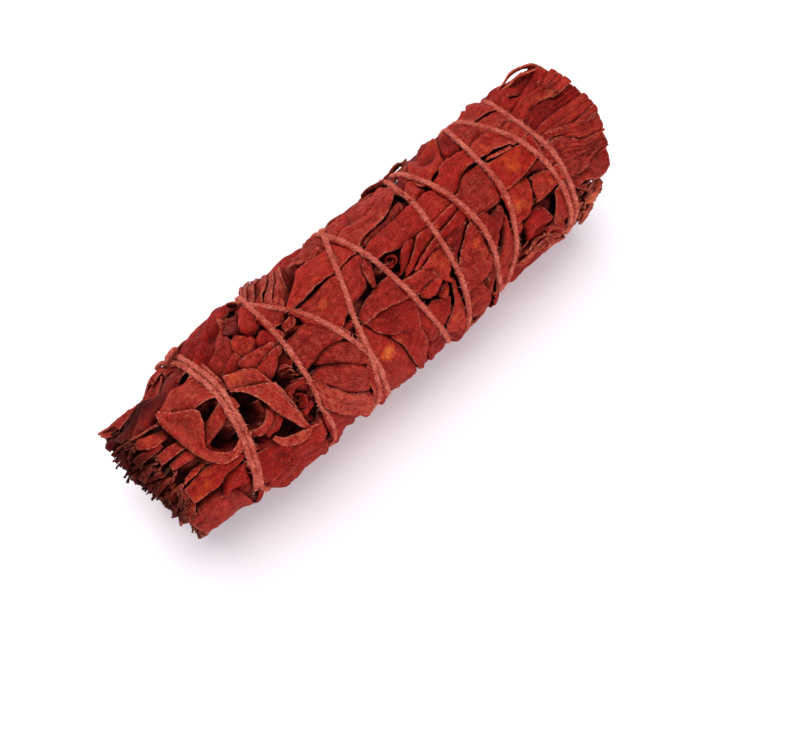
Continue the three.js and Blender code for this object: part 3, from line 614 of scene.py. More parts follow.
def panel(tone, left, right, **ways):
    """A leaf given by the points of its left and right edges, from root to tip."""
    way = {**PLAIN_PANEL, **ways}
    reach = max(edge_line(left, 8)[1], edge_line(right, 8)[1])
    rows = int(np.clip(reach / ROW_PITCH, 10, 44))
    left_edge, left_length = edge_line(left, rows)
    right_edge, right_length = edge_line(right, rows)
    half = np.linalg.norm(left_edge - right_edge, axis=1)[:, None] / 2
    columns = int(np.clip(2 * half.max() / COLUMN_PITCH, 6, 22))
    length = (left_length + right_length) / 2
    share, across = even_grid(rows, columns)
    phase = chance.uniform(0, ANY_PHASE)
    tucked = [tuck * chance.uniform(0.35, 1.15) for tuck in way["tucks"]]
    draw_folds(way)
    fray = np.array([[chance.uniform(-1, 1) for _ in range(rows)] for _ in range(2)]) * way["frayed"]
    fray = np.cumsum(fray, axis=1) * 0.5
    fray -= np.linspace(0, 1, rows) * fray[:, -1:]
    x = share * length
    y = across * half
    leftward = left_edge[:, None, :] * (1 - across[..., None])
    rightward = right_edge[:, None, :] * (1 + across[..., None])
    plane = (leftward + rightward) / 2
    shift = np.where(across < 0, fray[0][:, None], fray[1][:, None]) * across ** 2
    side = (right_edge - left_edge) / np.maximum(2 * half, 0.05)
    plane = plane + side[:, None, :] * shift[..., None]
    along = plane[..., 0]
    angle = plane[..., 1] / (math.radians(1) * LEAF_RADIUS)
    from_left = (1 + across) * half
    from_right = (1 - across) * half
    from_tip = length - x
    own = way["crown"] * (1 - np.abs(across) ** way["flat"]) * np.minimum(1, half / 1.4) + way["lift"]
    for tuck, distance in zip(tucked, (from_left, from_right, from_tip, x)):
        own = own - tuck * np.exp(-((distance / TUCK_WIDTH) ** 2))
    start, end = way["fold_line"]
    from_fold = np.abs(across - (start + (end - start) * share)) * half
    own = own - way["fold"] * np.minimum(from_fold, 1.6) / 1.6
    own = own + way["tilt"] * across + way["ripple"] * np.sin(share * 7 + across * 2.2 + phase)
    own = own + way["wrinkle"] * np.sin(y * way["wrinkle_pitch"] + 2 * share + phase)
    own = own + 0.5 * way["wrinkle"] * np.sin(y * 2.3 * way["wrinkle_pitch"] - 5 * share + 2 * phase)
    if way["pleats"]:
        fan = (across * way["pleats"] / 2 + phase) % 1
        own = own + way["pleat"] * (np.abs(fan - 0.5) * 4 - 1)
    own = own + fold_lines(way, x, y, length)
    own = own + way["rise"][0] * (1 - share) ** 2 + way["rise"][1] * share ** 2
    base = surface_at(along, angle) + way["thick"] + CLEARANCE
    radius = settle(base, own, way["stiff"]) - way["pit"] * read_map(HOLLOW, along, angle)
    stamp(along, angle, radius)
    edge = np.minimum(np.minimum(from_left, from_right), from_tip)
    middle = angle[rows // 2, columns // 2]
    keep_leaf(sprig_of(middle), (along, angle, radius), (x, y, edge), tone, way["warm"], dusty=way["dusty"])


def torn_scraps(count, along_range, angle_range, outward, warmest, lean=50, widest=1.7, raised=0.35):
    """Small torn scraps that lie every way near a cut end."""
    for _ in range(count):
        angle = chance.uniform(*angle_range)
        length = chance.uniform(1.6, 4.2)
        rim = float(rim_at(NEAR_RIM if outward < 0 else FAR_RIM, angle))
        start = min(chance.uniform(*along_range) * outward, rim * outward + 0.5 - length) * outward
        turn = math.radians(chance.uniform(-lean, lean))
        climb = math.degrees(length * math.sin(turn) / LEAF_RADIUS)
        tip = (start + outward * length * math.cos(turn), angle + climb)
        grow(
            (start, angle), tip, chance.uniform(0.6, widest), rows=9, columns=5, cut=0.5, stiff=4, crown=0.2,
            tilt=chance.uniform(-0.5, 0.5), tone=chance.uniform(0.2, 1.0), warm=chance.uniform(0, warmest),
            creases=1, lift=chance.uniform(-0.1, raised), thick=0.3,
        )


# The measured leaves, region by region from the near end, lowest first
def near_end_leaves():
    panel(
        0.9, [(-44, 49), (-48, 56), (-51, 62), (-54.6, 70)], [(-46, 38), (-49, 41), (-51.6, 44), (-55, 52)],
        pleats=3, pleat=0.2,
    )
    for angle in (67, 75, 84, 92, 98, 106, 113, 120, 129, 134, 142, 149):
        rim = float(rim_at(NEAR_RIM, angle)) + chance.uniform(-0.6, 1.6)
        lean = chance.uniform(-4, 4)
        wide = chance.uniform(2.5, 5.5)
        panel(
            chance.uniform(0.5, 1.0),
            [(-46, angle + wide), (-50, angle + wide), (rim + 0.3, angle + wide + lean)],
            [(-46, angle - wide), (-51, angle - wide), (rim - 0.3, angle - wide + lean)], frayed=0.45,
            tilt=chance.uniform(-0.7, 0.7), lift=chance.uniform(-0.9, -0.2), pleats=2, pleat=0.3, creases=4,
        )
    torn_scraps(85, (-55.5, -49.5), (60, 157), -1, 0.3)
    panel(0.4, [(-42, 203), (-48, 203), (-52.2, 197)], [(-44, 166), (-48, 157.5), (-54.8, 156)], crown=0.6,
          tucks=(0.3, 1.2, 0.3, 0.5), lift=0.3)
    panel(0.12, [(-38, 172), (-43, 165), (-47.6, 161)], [(-38, 146), (-43.5, 146), (-46, 157)], lift=0.2)
    panel(
        0.12, [(-40, 141), (-44, 144.5), (-47, 149), (-52, 146.5)],
        [(-41, 135), (-45.5, 131.5), (-49, 132), (-52, 132)], warm=0.35, creases=3, crease=0.25, lift=0.4,
    )
    panel(
        0.1, [(-46.4, 128), (-49, 129.7), (-51.4, 129)], [(-46.6, 126), (-49, 125), (-50.8, 126)], warm=0.4,
        lift=0.1,
    )
    panel(
        0.1, [(-46, 118), (-49, 118), (-51.6, 115)], [(-46, 109.5), (-49, 109.7), (-51.3, 110)], warm=0.2,
        tilt=0.3, lift=0.3,
    )
    panel(
        0.3, [(-46, 108.5), (-49, 108), (-52.4, 107.5)], [(-46, 100), (-49, 99.5), (-52, 100)], lift=0.3,
        tilt=-0.2,
    )
    panel(0.6, [(-50, 97), (-53, 97), (-55.5, 96)], [(-50, 92), (-53, 90), (-55.5, 89)], tilt=0.3)
    panel(
        0.3, [(-47.4, 91), (-50, 93.5), (-52, 92), (-53.6, 86)],
        [(-47.5, 80), (-49.5, 79), (-52, 77), (-53.4, 82)], warm=0.7, creases=6, crease=0.35, lift=0.5,
    )
    panel(0.75, [(-43, 50), (-47, 56), (-50, 62), (-54.5, 71)], [(-46, 42), (-49, 47), (-51, 52), (-55, 63)],
          crown=0.7, flat=2.4, lift=0.2)
    panel(
        0.6, [(-37, 60), (-41, 62.5), (-45, 65.5), (-48, 71), (-50.5, 74.5), (-52.4, 73)],
        [(-37, 46), (-42, 47.5), (-46, 50.5), (-48.6, 57), (-51, 64), (-52.4, 69)], crown=1.2, flat=2.2,
        lift=0.5,
    )
    panel(
        0.45, [(-46, 75), (-48, 78), (-51.5, 77.5), (-53.5, 74)],
        [(-46.3, 72), (-48, 75), (-51, 75.5), (-53, 72.5)], crown=0.5, flat=2.2, lift=0.5,
    )


def hero_fold():
    """The broad folded leaf under the first two turns, with the pocket it makes."""
    panel(
        0.3, [(-36, 111), (-39, 113), (-42, 117), (-44.8, 120.5)],
        [(-36, 98), (-39, 101), (-42, 104.5), (-44.5, 113)], warm=0.15, dusty=0.45,
        tucks=(0.9, 0.5, 0.3, 0.4), lift=-0.3, crown=0.5,
    )
    panel(
        0.14, [(-46.2, 73), (-44.6, 80.5), (-42.2, 90), (-40, 94.5), (-35, 97)],
        [(-46.2, 71.5), (-44.5, 68), (-42.5, 65.3), (-40, 65), (-35, 71)], crown=0.5,
        tucks=(0.75, 0.6, 0.2, 0.3), lift=1.0, creases=3, warm=0.12, dusty=0.6,
    )
    panel(
        0.12,
        [
            (-46.9, 72.5), (-47.5, 82), (-47.4, 100), (-47, 112), (-46.2, 122), (-45, 129.5),
            (-43.4, 134.8), (-40, 134), (-37, 129),
        ],
        [
            (-46.4, 74), (-44.5, 83), (-42.2, 91), (-41.6, 97), (-43, 106), (-44.8, 117), (-43.9, 126),
            (-41.5, 130), (-38, 125),
        ],
        crown=0.6, lift=1.2, tucks=(0.7, 0.45, 0.3, 0.3), warm=0.12, dusty=0.6, creases=3,
    )


def near_facets():
    panel(
        0.35, [(-42, 203), (-34, 203), (-22, 203)],
        [(-38, 172), (-33.5, 163), (-31, 157.5), (-27, 157), (-23, 156)], creases=5, crease=0.3, stiff=8,
        pleats=2, pleat=0.12,
    )
    panel(0.3, [(-41, 173), (-37, 173), (-34.6, 170.5), (-32.9, 162)],
          [(-41, 148), (-38, 145.7), (-35, 147.3), (-32.5, 155)], lift=0.4, tucks=(0.4, 0.9, 0.3, 0.4))
    panel(
        0.5, [(-35, 63), (-33, 55), (-30, 46), (-28, 40)], [(-36, 50), (-34, 42), (-31, 34), (-29, 28)],
        lift=-0.6, stiff=5,
    )
    panel(0.3, [(-25.5, 60), (-23, 55), (-20.5, 48)], [(-25, 50), (-22, 42), (-19, 36)], stiff=4, lift=-0.3)
    panel(
        0.33, [(-37, 74), (-34.3, 73), (-31.8, 69.5), (-29.5, 60), (-27, 51.5), (-24.5, 45), (-21, 36)],
        [(-37, 65), (-34, 57), (-32, 50.5), (-30, 44), (-28, 38.5), (-26, 34), (-23, 28)], crown=0.4,
        lift=0.1, stiff=5, tucks=(0.55, 0.55, 1.2, 0.5),
    )
    panel(
        0.4, [(-37, 91), (-32, 90), (-30.2, 82), (-29, 76), (-28.6, 70), (-28.3, 62), (-26.3, 54)],
        [(-37, 75), (-33.5, 73), (-31.8, 70.3), (-30.8, 65.8), (-29.5, 60.8), (-28.3, 57), (-27, 51.5)],
        lift=0.5,
    )
    panel(
        0.85, [(-28.5, 69), (-28.4, 63), (-27, 57), (-25.4, 52)],
        [(-26.2, 71.3), (-25.5, 66), (-24.2, 60), (-23, 53)], tucks=(0.5, 0.3, 0.3, 0.5),
    )
    panel(
        0.1, [(-26, 76.8), (-24, 76.8), (-22, 73), (-20.3, 66)],
        [(-26.2, 73), (-25.6, 68), (-24.4, 61.5), (-22.6, 53)], lift=0.3,
    )
    panel(
        0.16, [(-30.4, 91.3), (-28, 89.5), (-26, 87.5), (-25.7, 84)],
        [(-30, 83), (-29, 76), (-28, 73.5), (-26.7, 79)], lift=0.3, warm=0.2,
    )
    panel(0.3, [(-26.3, 91), (-24, 93.5), (-21, 93)], [(-26, 86), (-24, 82.5), (-21.7, 78.5)], lift=0.1)
    panel(
        0.35, [(-36, 100), (-33, 99), (-31, 95), (-30, 91)],
        [(-36.5, 89), (-34, 87), (-32, 84), (-30.3, 83)], lift=0.3,
    )
    panel(
        0.22, [(-31.4, 99.5), (-28, 97.8), (-25, 97.3), (-24, 95.7)],
        [(-31, 91), (-28, 91), (-26, 92.5), (-24.1, 94.3)], lift=0.5, crown=0.5,
    )
    panel(
        0.25, [(-30, 113), (-27, 107.5), (-25, 102), (-23.5, 100)],
        [(-30.5, 101), (-28.5, 99.2), (-26, 98.3), (-23.5, 98)], lift=0.4, tucks=(0.7, 0.5, 0.3, 0.2),
    )
    # Curled strips in the hollow beside the pointed leaf
    panel(
        0.2, [(-24.2, 130), (-25, 127), (-26.5, 126.5), (-28.6, 127)],
        [(-24.2, 125), (-25, 123), (-26.5, 122.3), (-28.6, 123)], crown=0.6, flat=2.2, lift=-0.2,
    )
    for drop in range(3):
        low = 116.5 - 3.6 * drop
        panel(
            0.25,
            [(-24.0, low + 5.5), (-24.8, low + 2.2), (-26, low + 0.8), (-27.4 + 0.4 * drop, low + 1.6)],
            [(-24.0, low + 3), (-24.8, low - 0.2), (-26, low - 1.3), (-27.2 + 0.4 * drop, low)], crown=0.5,
            flat=2.2, warm=0.15,
        )
    panel(
        0.3, [(-28, 148), (-26.5, 146.5), (-24.8, 145.5)], [(-28.2, 143), (-26.5, 142), (-25, 141)],
        tilt=0.3,
    )
    panel(
        0.35, [(-25.5, 132), (-25.6, 137), (-26.5, 140.5), (-28, 141)],
        [(-26.3, 132), (-26.6, 135.5), (-27.2, 137.5), (-28.2, 138)], crown=0.4, flat=2.2,
    )
    panel(
        0.05, [(-27.1, 125), (-27.3, 129), (-27.9, 134)], [(-27.8, 125), (-28, 129), (-28.3, 134)],
        warm=0.4, crown=0.4,
    )
    # Strips between the first turns and the pointed leaf
    panel(
        0.25, [(-38.3, 130), (-36, 133.8), (-34, 133.6), (-31.6, 130)],
        [(-37.8, 128), (-35.5, 128), (-34, 127), (-32, 123.5)], lift=0.2,
    )
    panel(
        0.35, [(-35.3, 139.5), (-33.5, 139.3), (-32, 137.3), (-30.6, 136)],
        [(-35, 135), (-34, 134.3), (-33, 132.7), (-31.6, 130.5)], lift=0.1,
    )


def pointed_leaf():
    panel(
        0.15, [(-35.5, 101), (-32, 107.5), (-28.8, 114)], [(-34.6, 90), (-32, 94.5), (-29.8, 100.3)],
        lift=0.8, warm=0.35, dusty=0.75, tucks=(0.5, 0.5, 0.4, 0.3),
    )
    panel(
        0.5, [(-29.4, 113.5), (-29.2, 124), (-29, 138), (-28.3, 151)],
        [(-28.6, 113.8), (-28.2, 124), (-27.9, 138), (-28, 151)], lift=0.5, tilt=-0.2, creases=0,
        tucks=(0.1, 0.5, 0.2, 0.3), warm=0.1,
    )
    panel(0.14, [(-35.5, 100.5), (-33.6, 109), (-32.2, 121), (-31.2, 131), (-29.6, 145), (-28.4, 152.5)],
          [(-35.3, 100.3), (-32, 107.3), (-29.1, 113.2), (-28.9, 124), (-28.6, 138), (-28, 151.5)], lift=1.3,
          tucks=(0.8, 0.35, 0.2, 0.3), warm=0.15, dusty=0.65, creases=1, crown=0.4)
    panel(
        0.1, [(-35.2, 140), (-34.1, 148), (-32.8, 152.7), (-31, 155.9), (-29.2, 155.5), (-28.1, 152.5)],
        [(-34.4, 139), (-33, 144.3), (-31.3, 147.3), (-29.8, 149.3), (-28.9, 150.5), (-28.3, 151)],
        lift=1.1, crown=0.7, flat=2.2, warm=0.3, dusty=0.7, creases=0,
    )
    panel(
        0.05, [(-28.2, 151.8), (-27, 153.2), (-25.9, 155.2)], [(-28.1, 151), (-27, 152.4), (-25.8, 154.6)],
        warm=0.5, thick=0.3, lift=0.6, creases=0,
    )


def lens_leaves():
    panel(0.35, [(-25, 203), (-18, 206)], [(-25, 152), (-22, 164), (-20.3, 174), (-17.5, 190)])
    panel(
        0.35, [(-22.5, 121), (-19, 121), (-16, 120), (-12, 122)],
        [(-22.5, 97), (-20, 98.5), (-17, 96), (-14.5, 93)], creases=3, warm=0.1,
    )
    panel(
        0.5, [(-20.8, 93), (-19.5, 93.5), (-18, 91)], [(-20.6, 89.5), (-19.5, 89), (-18, 89)], warm=0.5,
        creases=3,
    )
    panel(
        0.3, [(-23, 85), (-20, 85.5), (-18.2, 79.5), (-17, 73)],
        [(-22.8, 72), (-21.3, 66), (-20, 60), (-18.8, 55)], lift=0.2,
    )
    panel(
        0.42, [(-20.6, 124.5), (-18.6, 129.5), (-16.5, 134.5), (-14.8, 140.5), (-12.7, 148)],
        [(-20.2, 122.5), (-18, 120.3), (-15.8, 120.5), (-14, 123.5), (-12.4, 131)], crown=0.7, flat=2.8,
        lift=0.3, tucks=(0.9, 0.9, 0.4, 0.5), creases=1,
    )
    panel(
        0.36, [(-22.6, 129.8), (-21, 139.5), (-19, 150), (-17, 158.5), (-15, 167), (-12.8, 176)],
        [(-22.6, 128), (-20.3, 127.2), (-18.6, 130), (-16.5, 135), (-14.8, 141), (-12.7, 150)], crown=0.8,
        flat=2.8, lift=0.5, tucks=(0.9, 0.9, 0.4, 0.5), creases=1,
    )
    panel(
        0.08, [(-23.8, 148), (-22, 161.5), (-20.4, 172.5), (-18.3, 185), (-16, 200)],
        [
            (-23, 129.5), (-21.2, 140), (-19.2, 150.8), (-17.2, 159.3), (-15.2, 168), (-13.2, 178),
            (-11, 195),
        ],
        crown=0.4, lift=0.4, warm=0.35, dusty=1.0, tucks=(0.6, 0.7, 0.2, 0.5),
    )


def middle_leaves():
    # Thin layers by the far silhouette
    for k in range(6):
        s, a = -17.3 - 1.05 * k + chance.uniform(-0.3, 0.3), 77 - 6.5 * k + chance.uniform(-2, 2)
        panel(
            0.35 + 0.05 * k,
            [(s, a), (s + 1.6, a - 6.5), (s + 3.2, a - 14), (s + 4.7, a - 22), (s + 6, a - 32)],
            [(s - 1.5, a - 12), (s + 0, a - 18.5), (s + 1.6, a - 26), (s + 3.1, a - 34), (s + 4.3, a - 44)],
            tilt=-0.3, tucks=(0.0, 0.7, 0.3, 0.4), lift=-0.2, creases=1, crease=0.1, warm=0.2, thick=0.2,
            dusty=0.8, stiff=4,
        )
    panel(0.45, [(-10, 54.5), (-6, 55), (-1, 54.5)], [(-9.3, 49), (-7.5, 45), (-4, 41), (-1, 36)], lift=0.2)
    for k in range(2):
        a = 61.3 - 2.9 * k
        panel(
            0.25, [(-11.3, a), (-9, a - 0.3), (-6, a - 0.4), (-1.5, a - 0.8)],
            [(-10.6, a - 2.6), (-9, a - 2.8), (-6, a - 2.9), (-1.5, a - 3.1)], tilt=0.25, warm=0.3,
            tucks=(0.1, 0.5, 0.3, 0.3), creases=0,
        )
    panel(
        0.22,
        [
            (-17, 97), (-13.7, 114.5), (-11, 111.5), (-8, 108), (-5.5, 106.7), (-3.6, 103.5), (-2.5, 95),
            (-0.5, 86),
        ],
        [(-18, 84), (-14, 84.5), (-10.5, 84), (-7, 84.5), (-4, 83.3), (-2, 82.3), (-0.5, 82)], warm=0.15,
        creases=3,
    )
    panel(
        0.02, [(-17.6, 82), (-14, 84), (-10, 83.8), (-5, 83.5), (-0.5, 81.5)],
        [(-17.2, 79), (-14.5, 74.7), (-12.5, 70), (-10.5, 65), (-8, 62), (-5, 61.5), (-1, 60.5)], lift=0.5,
        warm=0.2, tucks=(0.3, 0.6, 0.2, 0.4), creases=3,
    )
    # Leaves that spread from the fold point
    panel(
        0.25, [(-10.5, 119), (-12.3, 135), (-13, 150), (-13.8, 165), (-13.6, 185), (-12, 203)],
        [
            (-9.4, 123), (-8.3, 132), (-7, 140), (-5.8, 147.5), (-4.9, 155), (-4.2, 168), (-3.5, 183),
            (-2.5, 203),
        ],
        creases=4, crease=0.22,
    )
    panel(
        0.33, [(-0.6, 130), (-0.6, 145), (-0.3, 158), (0.2, 169)],
        [(1.9, 129), (3, 145), (3.6, 158), (4.2, 169)], lift=-0.2,
    )
    panel(0.22, [(-6, 143), (-5.3, 150), (-4.4, 160), (-3.8, 172), (-3, 185), (-1.5, 203)],
          [(-1.6, 138), (-0.7, 147), (-0.4, 157), (-0.2, 168), (0.3, 182), (1.5, 203)], lift=0.5, warm=0.3,
          tucks=(0.7, 0.3, 0.3, 0.5))
    panel(
        0.3, [(-9, 124), (-8.2, 131), (-7, 137.5), (-5.5, 142), (-3.5, 145.5), (-1, 150)],
        [(-9, 123), (-6.5, 123.3), (-4, 124.5), (-1.5, 127), (1.4, 131)], lift=0.5,
        tucks=(0.5, 0.35, 0.4, 0.2), creases=4, crease=0.25,
    )
    panel(
        0.28, [(-9.2, 122.8), (-6.5, 122.9), (-4, 124.1), (-1.5, 126.6), (1, 130)],
        [(-8.9, 120), (-8, 116), (-6, 113), (-4, 111.5), (-2, 110), (1, 109.5)], lift=0.5,
        tucks=(0.3, 0.7, 0.3, 0.2),
    )
    # The strap that turns down beside the curl
    panel(
        0.4, [(-3.7, 109), (-3.4, 103), (-2.6, 96), (-1.5, 90), (0.3, 85)],
        [(-2.6, 110), (-2.2, 105.5), (-1.3, 101), (-0.3, 96), (0.8, 91)], crown=0.5, flat=2.4, pleats=2,
        pleat=0.14, lift=0.2, warm=0.2,
    )


def curl_side_leaves():
    panel(
        0.22, [(0.3, 95.5), (3, 96.5), (5, 99), (8, 100.8), (12, 101), (16, 100.8), (20, 98)],
        [(0.3, 84), (3, 82.5), (6, 81.5), (10, 81), (14, 80.3), (17, 79.5), (20, 77.5)], creases=3,
        lift=0.2,
    )
    panel(
        0.5, [(-0.3, 81), (4, 80.3), (8, 80.8), (11.4, 80)],
        [(-0.3, 79), (3, 77.5), (6, 76.2), (8, 76.5), (11.6, 74.5)], lift=-0.1,
    )
    panel(
        0.3, [(1.6, 113.5), (4, 112.8), (5, 110.8), (6.5, 107.3), (8.4, 102)],
        [(3.7, 108.5), (4.8, 104.5), (6, 101.6), (8.3, 100.8)], crown=0.6, flat=2.4, lift=0.3,
    )
    panel(
        0.24,
        [(2.3, 117), (4.5, 116), (6, 113.5), (8, 112), (10, 110.5), (13, 108.7), (16, 107.2), (20.5, 104)],
        [(3.2, 113.7), (5, 111), (7, 107), (8.5, 104), (10, 102.7), (13, 102.2), (17, 101.7), (20.5, 99)],
        crown=0.6, flat=2.8, lift=0.4, warm=0.2,
    )
    panel(
        0.24, [(4.3, 119.5), (6, 118.3), (8, 116), (10, 115.3), (13, 115.3), (16, 115.3), (20.5, 115)],
        [(4.6, 117), (6, 115.3), (8, 113), (10, 111.3), (13, 109.5), (16, 108), (20.5, 105)], crown=0.5,
        flat=2.8, lift=0.4, warm=0.2,
    )


def middle_low_leaves():
    panel(0.14, [(-2, 61), (2, 60), (5, 59), (8, 59), (10, 57.7), (12, 55.3), (15.5, 49)],
          [(-2, 40), (3, 38), (6, 35), (10, 32), (15, 28)], creases=4, crease=0.25)
    for k in range(2):
        s = 0.3 + 1.3 * k
        panel(
            0.12, [(s, 60), (s + 1.3, 55), (s + 2.6, 48), (s + 3.6, 42)],
            [(s - 0.8, 58), (s + 0.4, 52), (s + 1.6, 46), (s + 2.8, 39)], crown=0.4, flat=2.4, warm=0.15,
        )
    panel(
        0.14, [(-1, 80), (3, 77.3), (6, 75.7), (8, 74.8), (9.5, 72.8), (11.5, 68.3), (14.8, 62)],
        [(-2, 61), (2, 60), (5, 59), (8, 59.3), (10, 59), (12, 57), (15.2, 53)], lift=0.3, creases=3,
        warm=0.2,
    )
    panel(0.12, [(13.4, 80), (16, 78.3), (19, 74)], [(14.2, 65), (16, 62), (18.6, 58)], warm=0.3)
    panel(0.5, [(14.6, 62.5), (16.5, 60), (19, 55)], [(15, 54), (17, 50), (19, 45)], lift=-0.2, creases=3)


def middle_high_leaves():
    panel(0.4, [(1, 203), (6, 203), (11, 203)], [(-0.5, 176), (4, 176), (11, 176)])
    panel(0.14, [(5, 180), (5.2, 170), (6.7, 162.5), (8, 155), (9.2, 148), (10.2, 142.5)],
          [(10.8, 185), (11, 172), (11, 160), (11, 150), (11, 142)], warm=0.4, creases=3, lift=0.2)
    panel(
        0.3, [(4, 169), (5, 163.5), (6.6, 156), (7.9, 150.3)],
        [(2, 143), (4.2, 143.3), (5.8, 147), (7.3, 149.7)], lift=0.2, warm=0.1,
    )
    panel(
        0.1, [(9.8, 143), (9.6, 137), (11, 133.5), (12.4, 131)],
        [(5.2, 119.3), (7, 118.2), (9, 116.7), (12.4, 116.5)], warm=0.5, creases=4, crease=0.22,
    )
    panel(
        0.28, [(0.8, 131.5), (3, 132), (5.5, 130.4), (7.7, 130.4)],
        [(0.8, 116.5), (3, 118.3), (5, 119.8), (6.9, 126)], lift=0.3,
    )
    panel(
        0.1, [(3, 135), (4.6, 139.4), (6, 138.2), (7.9, 133)],
        [(3.3, 132.7), (5, 131.7), (6.5, 131), (7.9, 131)], warm=0.5, lift=0.3, crown=0.4,
    )
    panel(0.3, [(6.2, 145.5), (7.1, 147.8), (8.7, 141.5)], [(6.3, 141.5), (7.3, 140.6), (8.7, 140)], warm=0.2)
    panel(0.32, [(11, 185), (14, 188), (18, 192)], [(11, 158), (13.5, 158), (15.4, 158.7)])
    panel(0.6, [(12, 134), (12.8, 130), (14, 128.5), (15.5, 125), (17, 121), (19, 117)],
          [(12, 116), (14, 115.5), (16, 115.5), (19, 115.5)], lift=0.1)
    panel(
        0.42, [(11, 157.3), (13, 157.3), (15, 156.5), (17, 155), (20.3, 149)],
        [(11, 140), (12.5, 134.5), (14, 129.7), (16, 125), (18, 119.2), (20.3, 117)], crown=0.5, lift=0.4,
        warm=0.35, creases=2,
    )
    panel(0.5, [(15.6, 168), (17, 163), (20, 156)], [(15.6, 160), (17, 157), (20, 151)], lift=-0.3)


def far_leaves():
    panel(
        0.35, [(17, 203), (24, 203), (30, 203), (37, 200)],
        [(16, 170), (21, 176), (26.5, 163.5), (30, 160), (33, 161), (36, 165)], pleats=3, pleat=0.2,
    )
    for s, a, run, lean in (
        (25.5, 168, 8, 5), (27, 174, 9, 8), (29, 181, 8, 9), (24, 178, 6, -4), (32, 169, 6, 10),
        (31, 187, 7, 6),
    ):
        panel(
            chance.uniform(0.1, 0.6), [(s, a), (s + run / 2, a + lean / 2), (s + run, a + lean)],
            [(s + 0.5, a - 5), (s + run / 2, a + lean / 2 - 7), (s + run - 1.5, a + lean - 5)], frayed=0.4,
            tilt=0.25, warm=0.4, dusty=0.8, creases=3, stiff=6, thick=0.25,
        )
    panel(0.35, [(18.5, 57), (20.5, 53.5), (23, 47)], [(18.5, 48), (20.5, 43), (22.5, 36)], tilt=-0.2)
    panel(0.5, [(25.5, 69), (27.5, 69), (30, 66)], [(26.3, 55), (28, 48), (30.5, 42)], lift=-0.2, creases=3)
    panel(0.04, [(17.8, 75), (18, 66), (18.5, 57), (19.8, 49), (21.5, 41)],
          [(24.8, 70), (25.5, 64), (26.2, 58), (27.3, 51), (28.5, 44)], lift=0.5, crown=0.4, warm=0.3,
          tucks=(0.3, 0.6, 0.3, 0.3))
    panel(0.13, [(19, 95.5), (22, 93.5), (24, 88.2), (26, 85.7), (29.5, 86.3)],
          [(18.5, 76.5), (21.5, 75.3), (23.5, 72.7), (25, 71.2), (27, 71), (30, 72)], warm=0.3, creases=4)
    panel(
        0.34, [(19, 117), (23, 118.7), (27.8, 118.7)],
        [(19, 98), (22, 95.3), (23.8, 90.8), (25.5, 88.7), (29, 88.7)], lift=0.2, fold=0.2,
        fold_line=(0.6, 0.2),
    )
    panel(0.42, [(19.6, 149), (21.2, 142), (22.8, 135), (24.4, 129), (25.4, 126.3)],
          [(19.6, 117.5), (22, 118.3), (23, 124), (24.2, 124), (25.5, 121.5)], crown=0.4, lift=0.2)
    panel(0.16, [(19.5, 178), (20, 164), (20.6, 152.5), (22, 146), (23.6, 138), (25, 130)],
          [(23.3, 176), (24.5, 165), (26, 152), (26.8, 140), (26.8, 130)], lift=0.2)
    panel(
        0.32, [(27.7, 159.7), (29.5, 157.8), (31.5, 157.8), (34.5, 160)],
        [(28.4, 149), (29.5, 146), (31, 143.3), (32.7, 143)], lift=0.3, warm=0.1,
    )
    panel(
        0.3, [(26.2, 150), (27.3, 147), (28.8, 143.5)], [(26.2, 143.5), (27.4, 141.3), (29, 140.5)],
        warm=0.2,
    )
    panel(
        0.14, [(26, 144), (28, 141.7), (29.8, 141.7), (31.2, 137)],
        [(26.8, 118), (29.5, 117.3), (32, 117.3), (34, 119.5)], lift=0.4, warm=0.4,
    )
    panel(
        0.3, [(35.2, 171), (34, 160.5), (35, 153), (36, 147), (37, 142)],
        [(39.6, 172), (39.6, 160), (39.6, 150), (39.6, 142)], lift=0.2, warm=0.2,
    )
    panel(
        0.45, [(34, 120.5), (36, 121), (39, 126)], [(33.8, 116.5), (36, 115), (39.5, 113.5)], lift=-0.2,
        pleats=2, pleat=0.15,
    )
    panel(
        0.22, [(32.4, 137.2), (34.5, 139), (37, 139.8), (40.5, 139)],
        [(34, 122.3), (36, 123.5), (38, 126), (40.5, 127)], lift=0.5, warm=0.25, creases=1,
    )
    panel(
        0.15, [(27, 117), (30, 116.6), (33, 116.8), (36, 114.8), (39.5, 113)],
        [(28.6, 93), (31, 95.8), (33, 96), (35, 97), (37.5, 98.3), (40, 97)], warm=0.55, lift=0.2,
        creases=4,
    )
    panel(
        0.14, [(30, 92.7), (32, 94.8), (34, 95.4), (35.3, 96.2)],
        [(30, 90.2), (31.5, 91), (33.5, 92.6), (35.3, 95.2)], warm=0.35, tilt=0.15,
    )
    panel(
        0.14, [(29, 86.3), (31.5, 89), (33.5, 92), (36, 95), (40, 96)],
        [(29.3, 73.2), (31.5, 73), (34, 74.5), (37, 76.5), (40, 79)], warm=0.1, lift=0.2, creases=4,
    )
    panel(
        0.3, [(29.6, 72.5), (33, 72.7), (36, 74.5), (40, 78)], [(30.5, 56), (34, 57), (37, 58), (41, 58)],
        creases=4,
    )
    panel(0.28, [(30.5, 56), (35, 57), (41, 58)], [(31.5, 36), (35, 36), (41, 36)], creases=4)


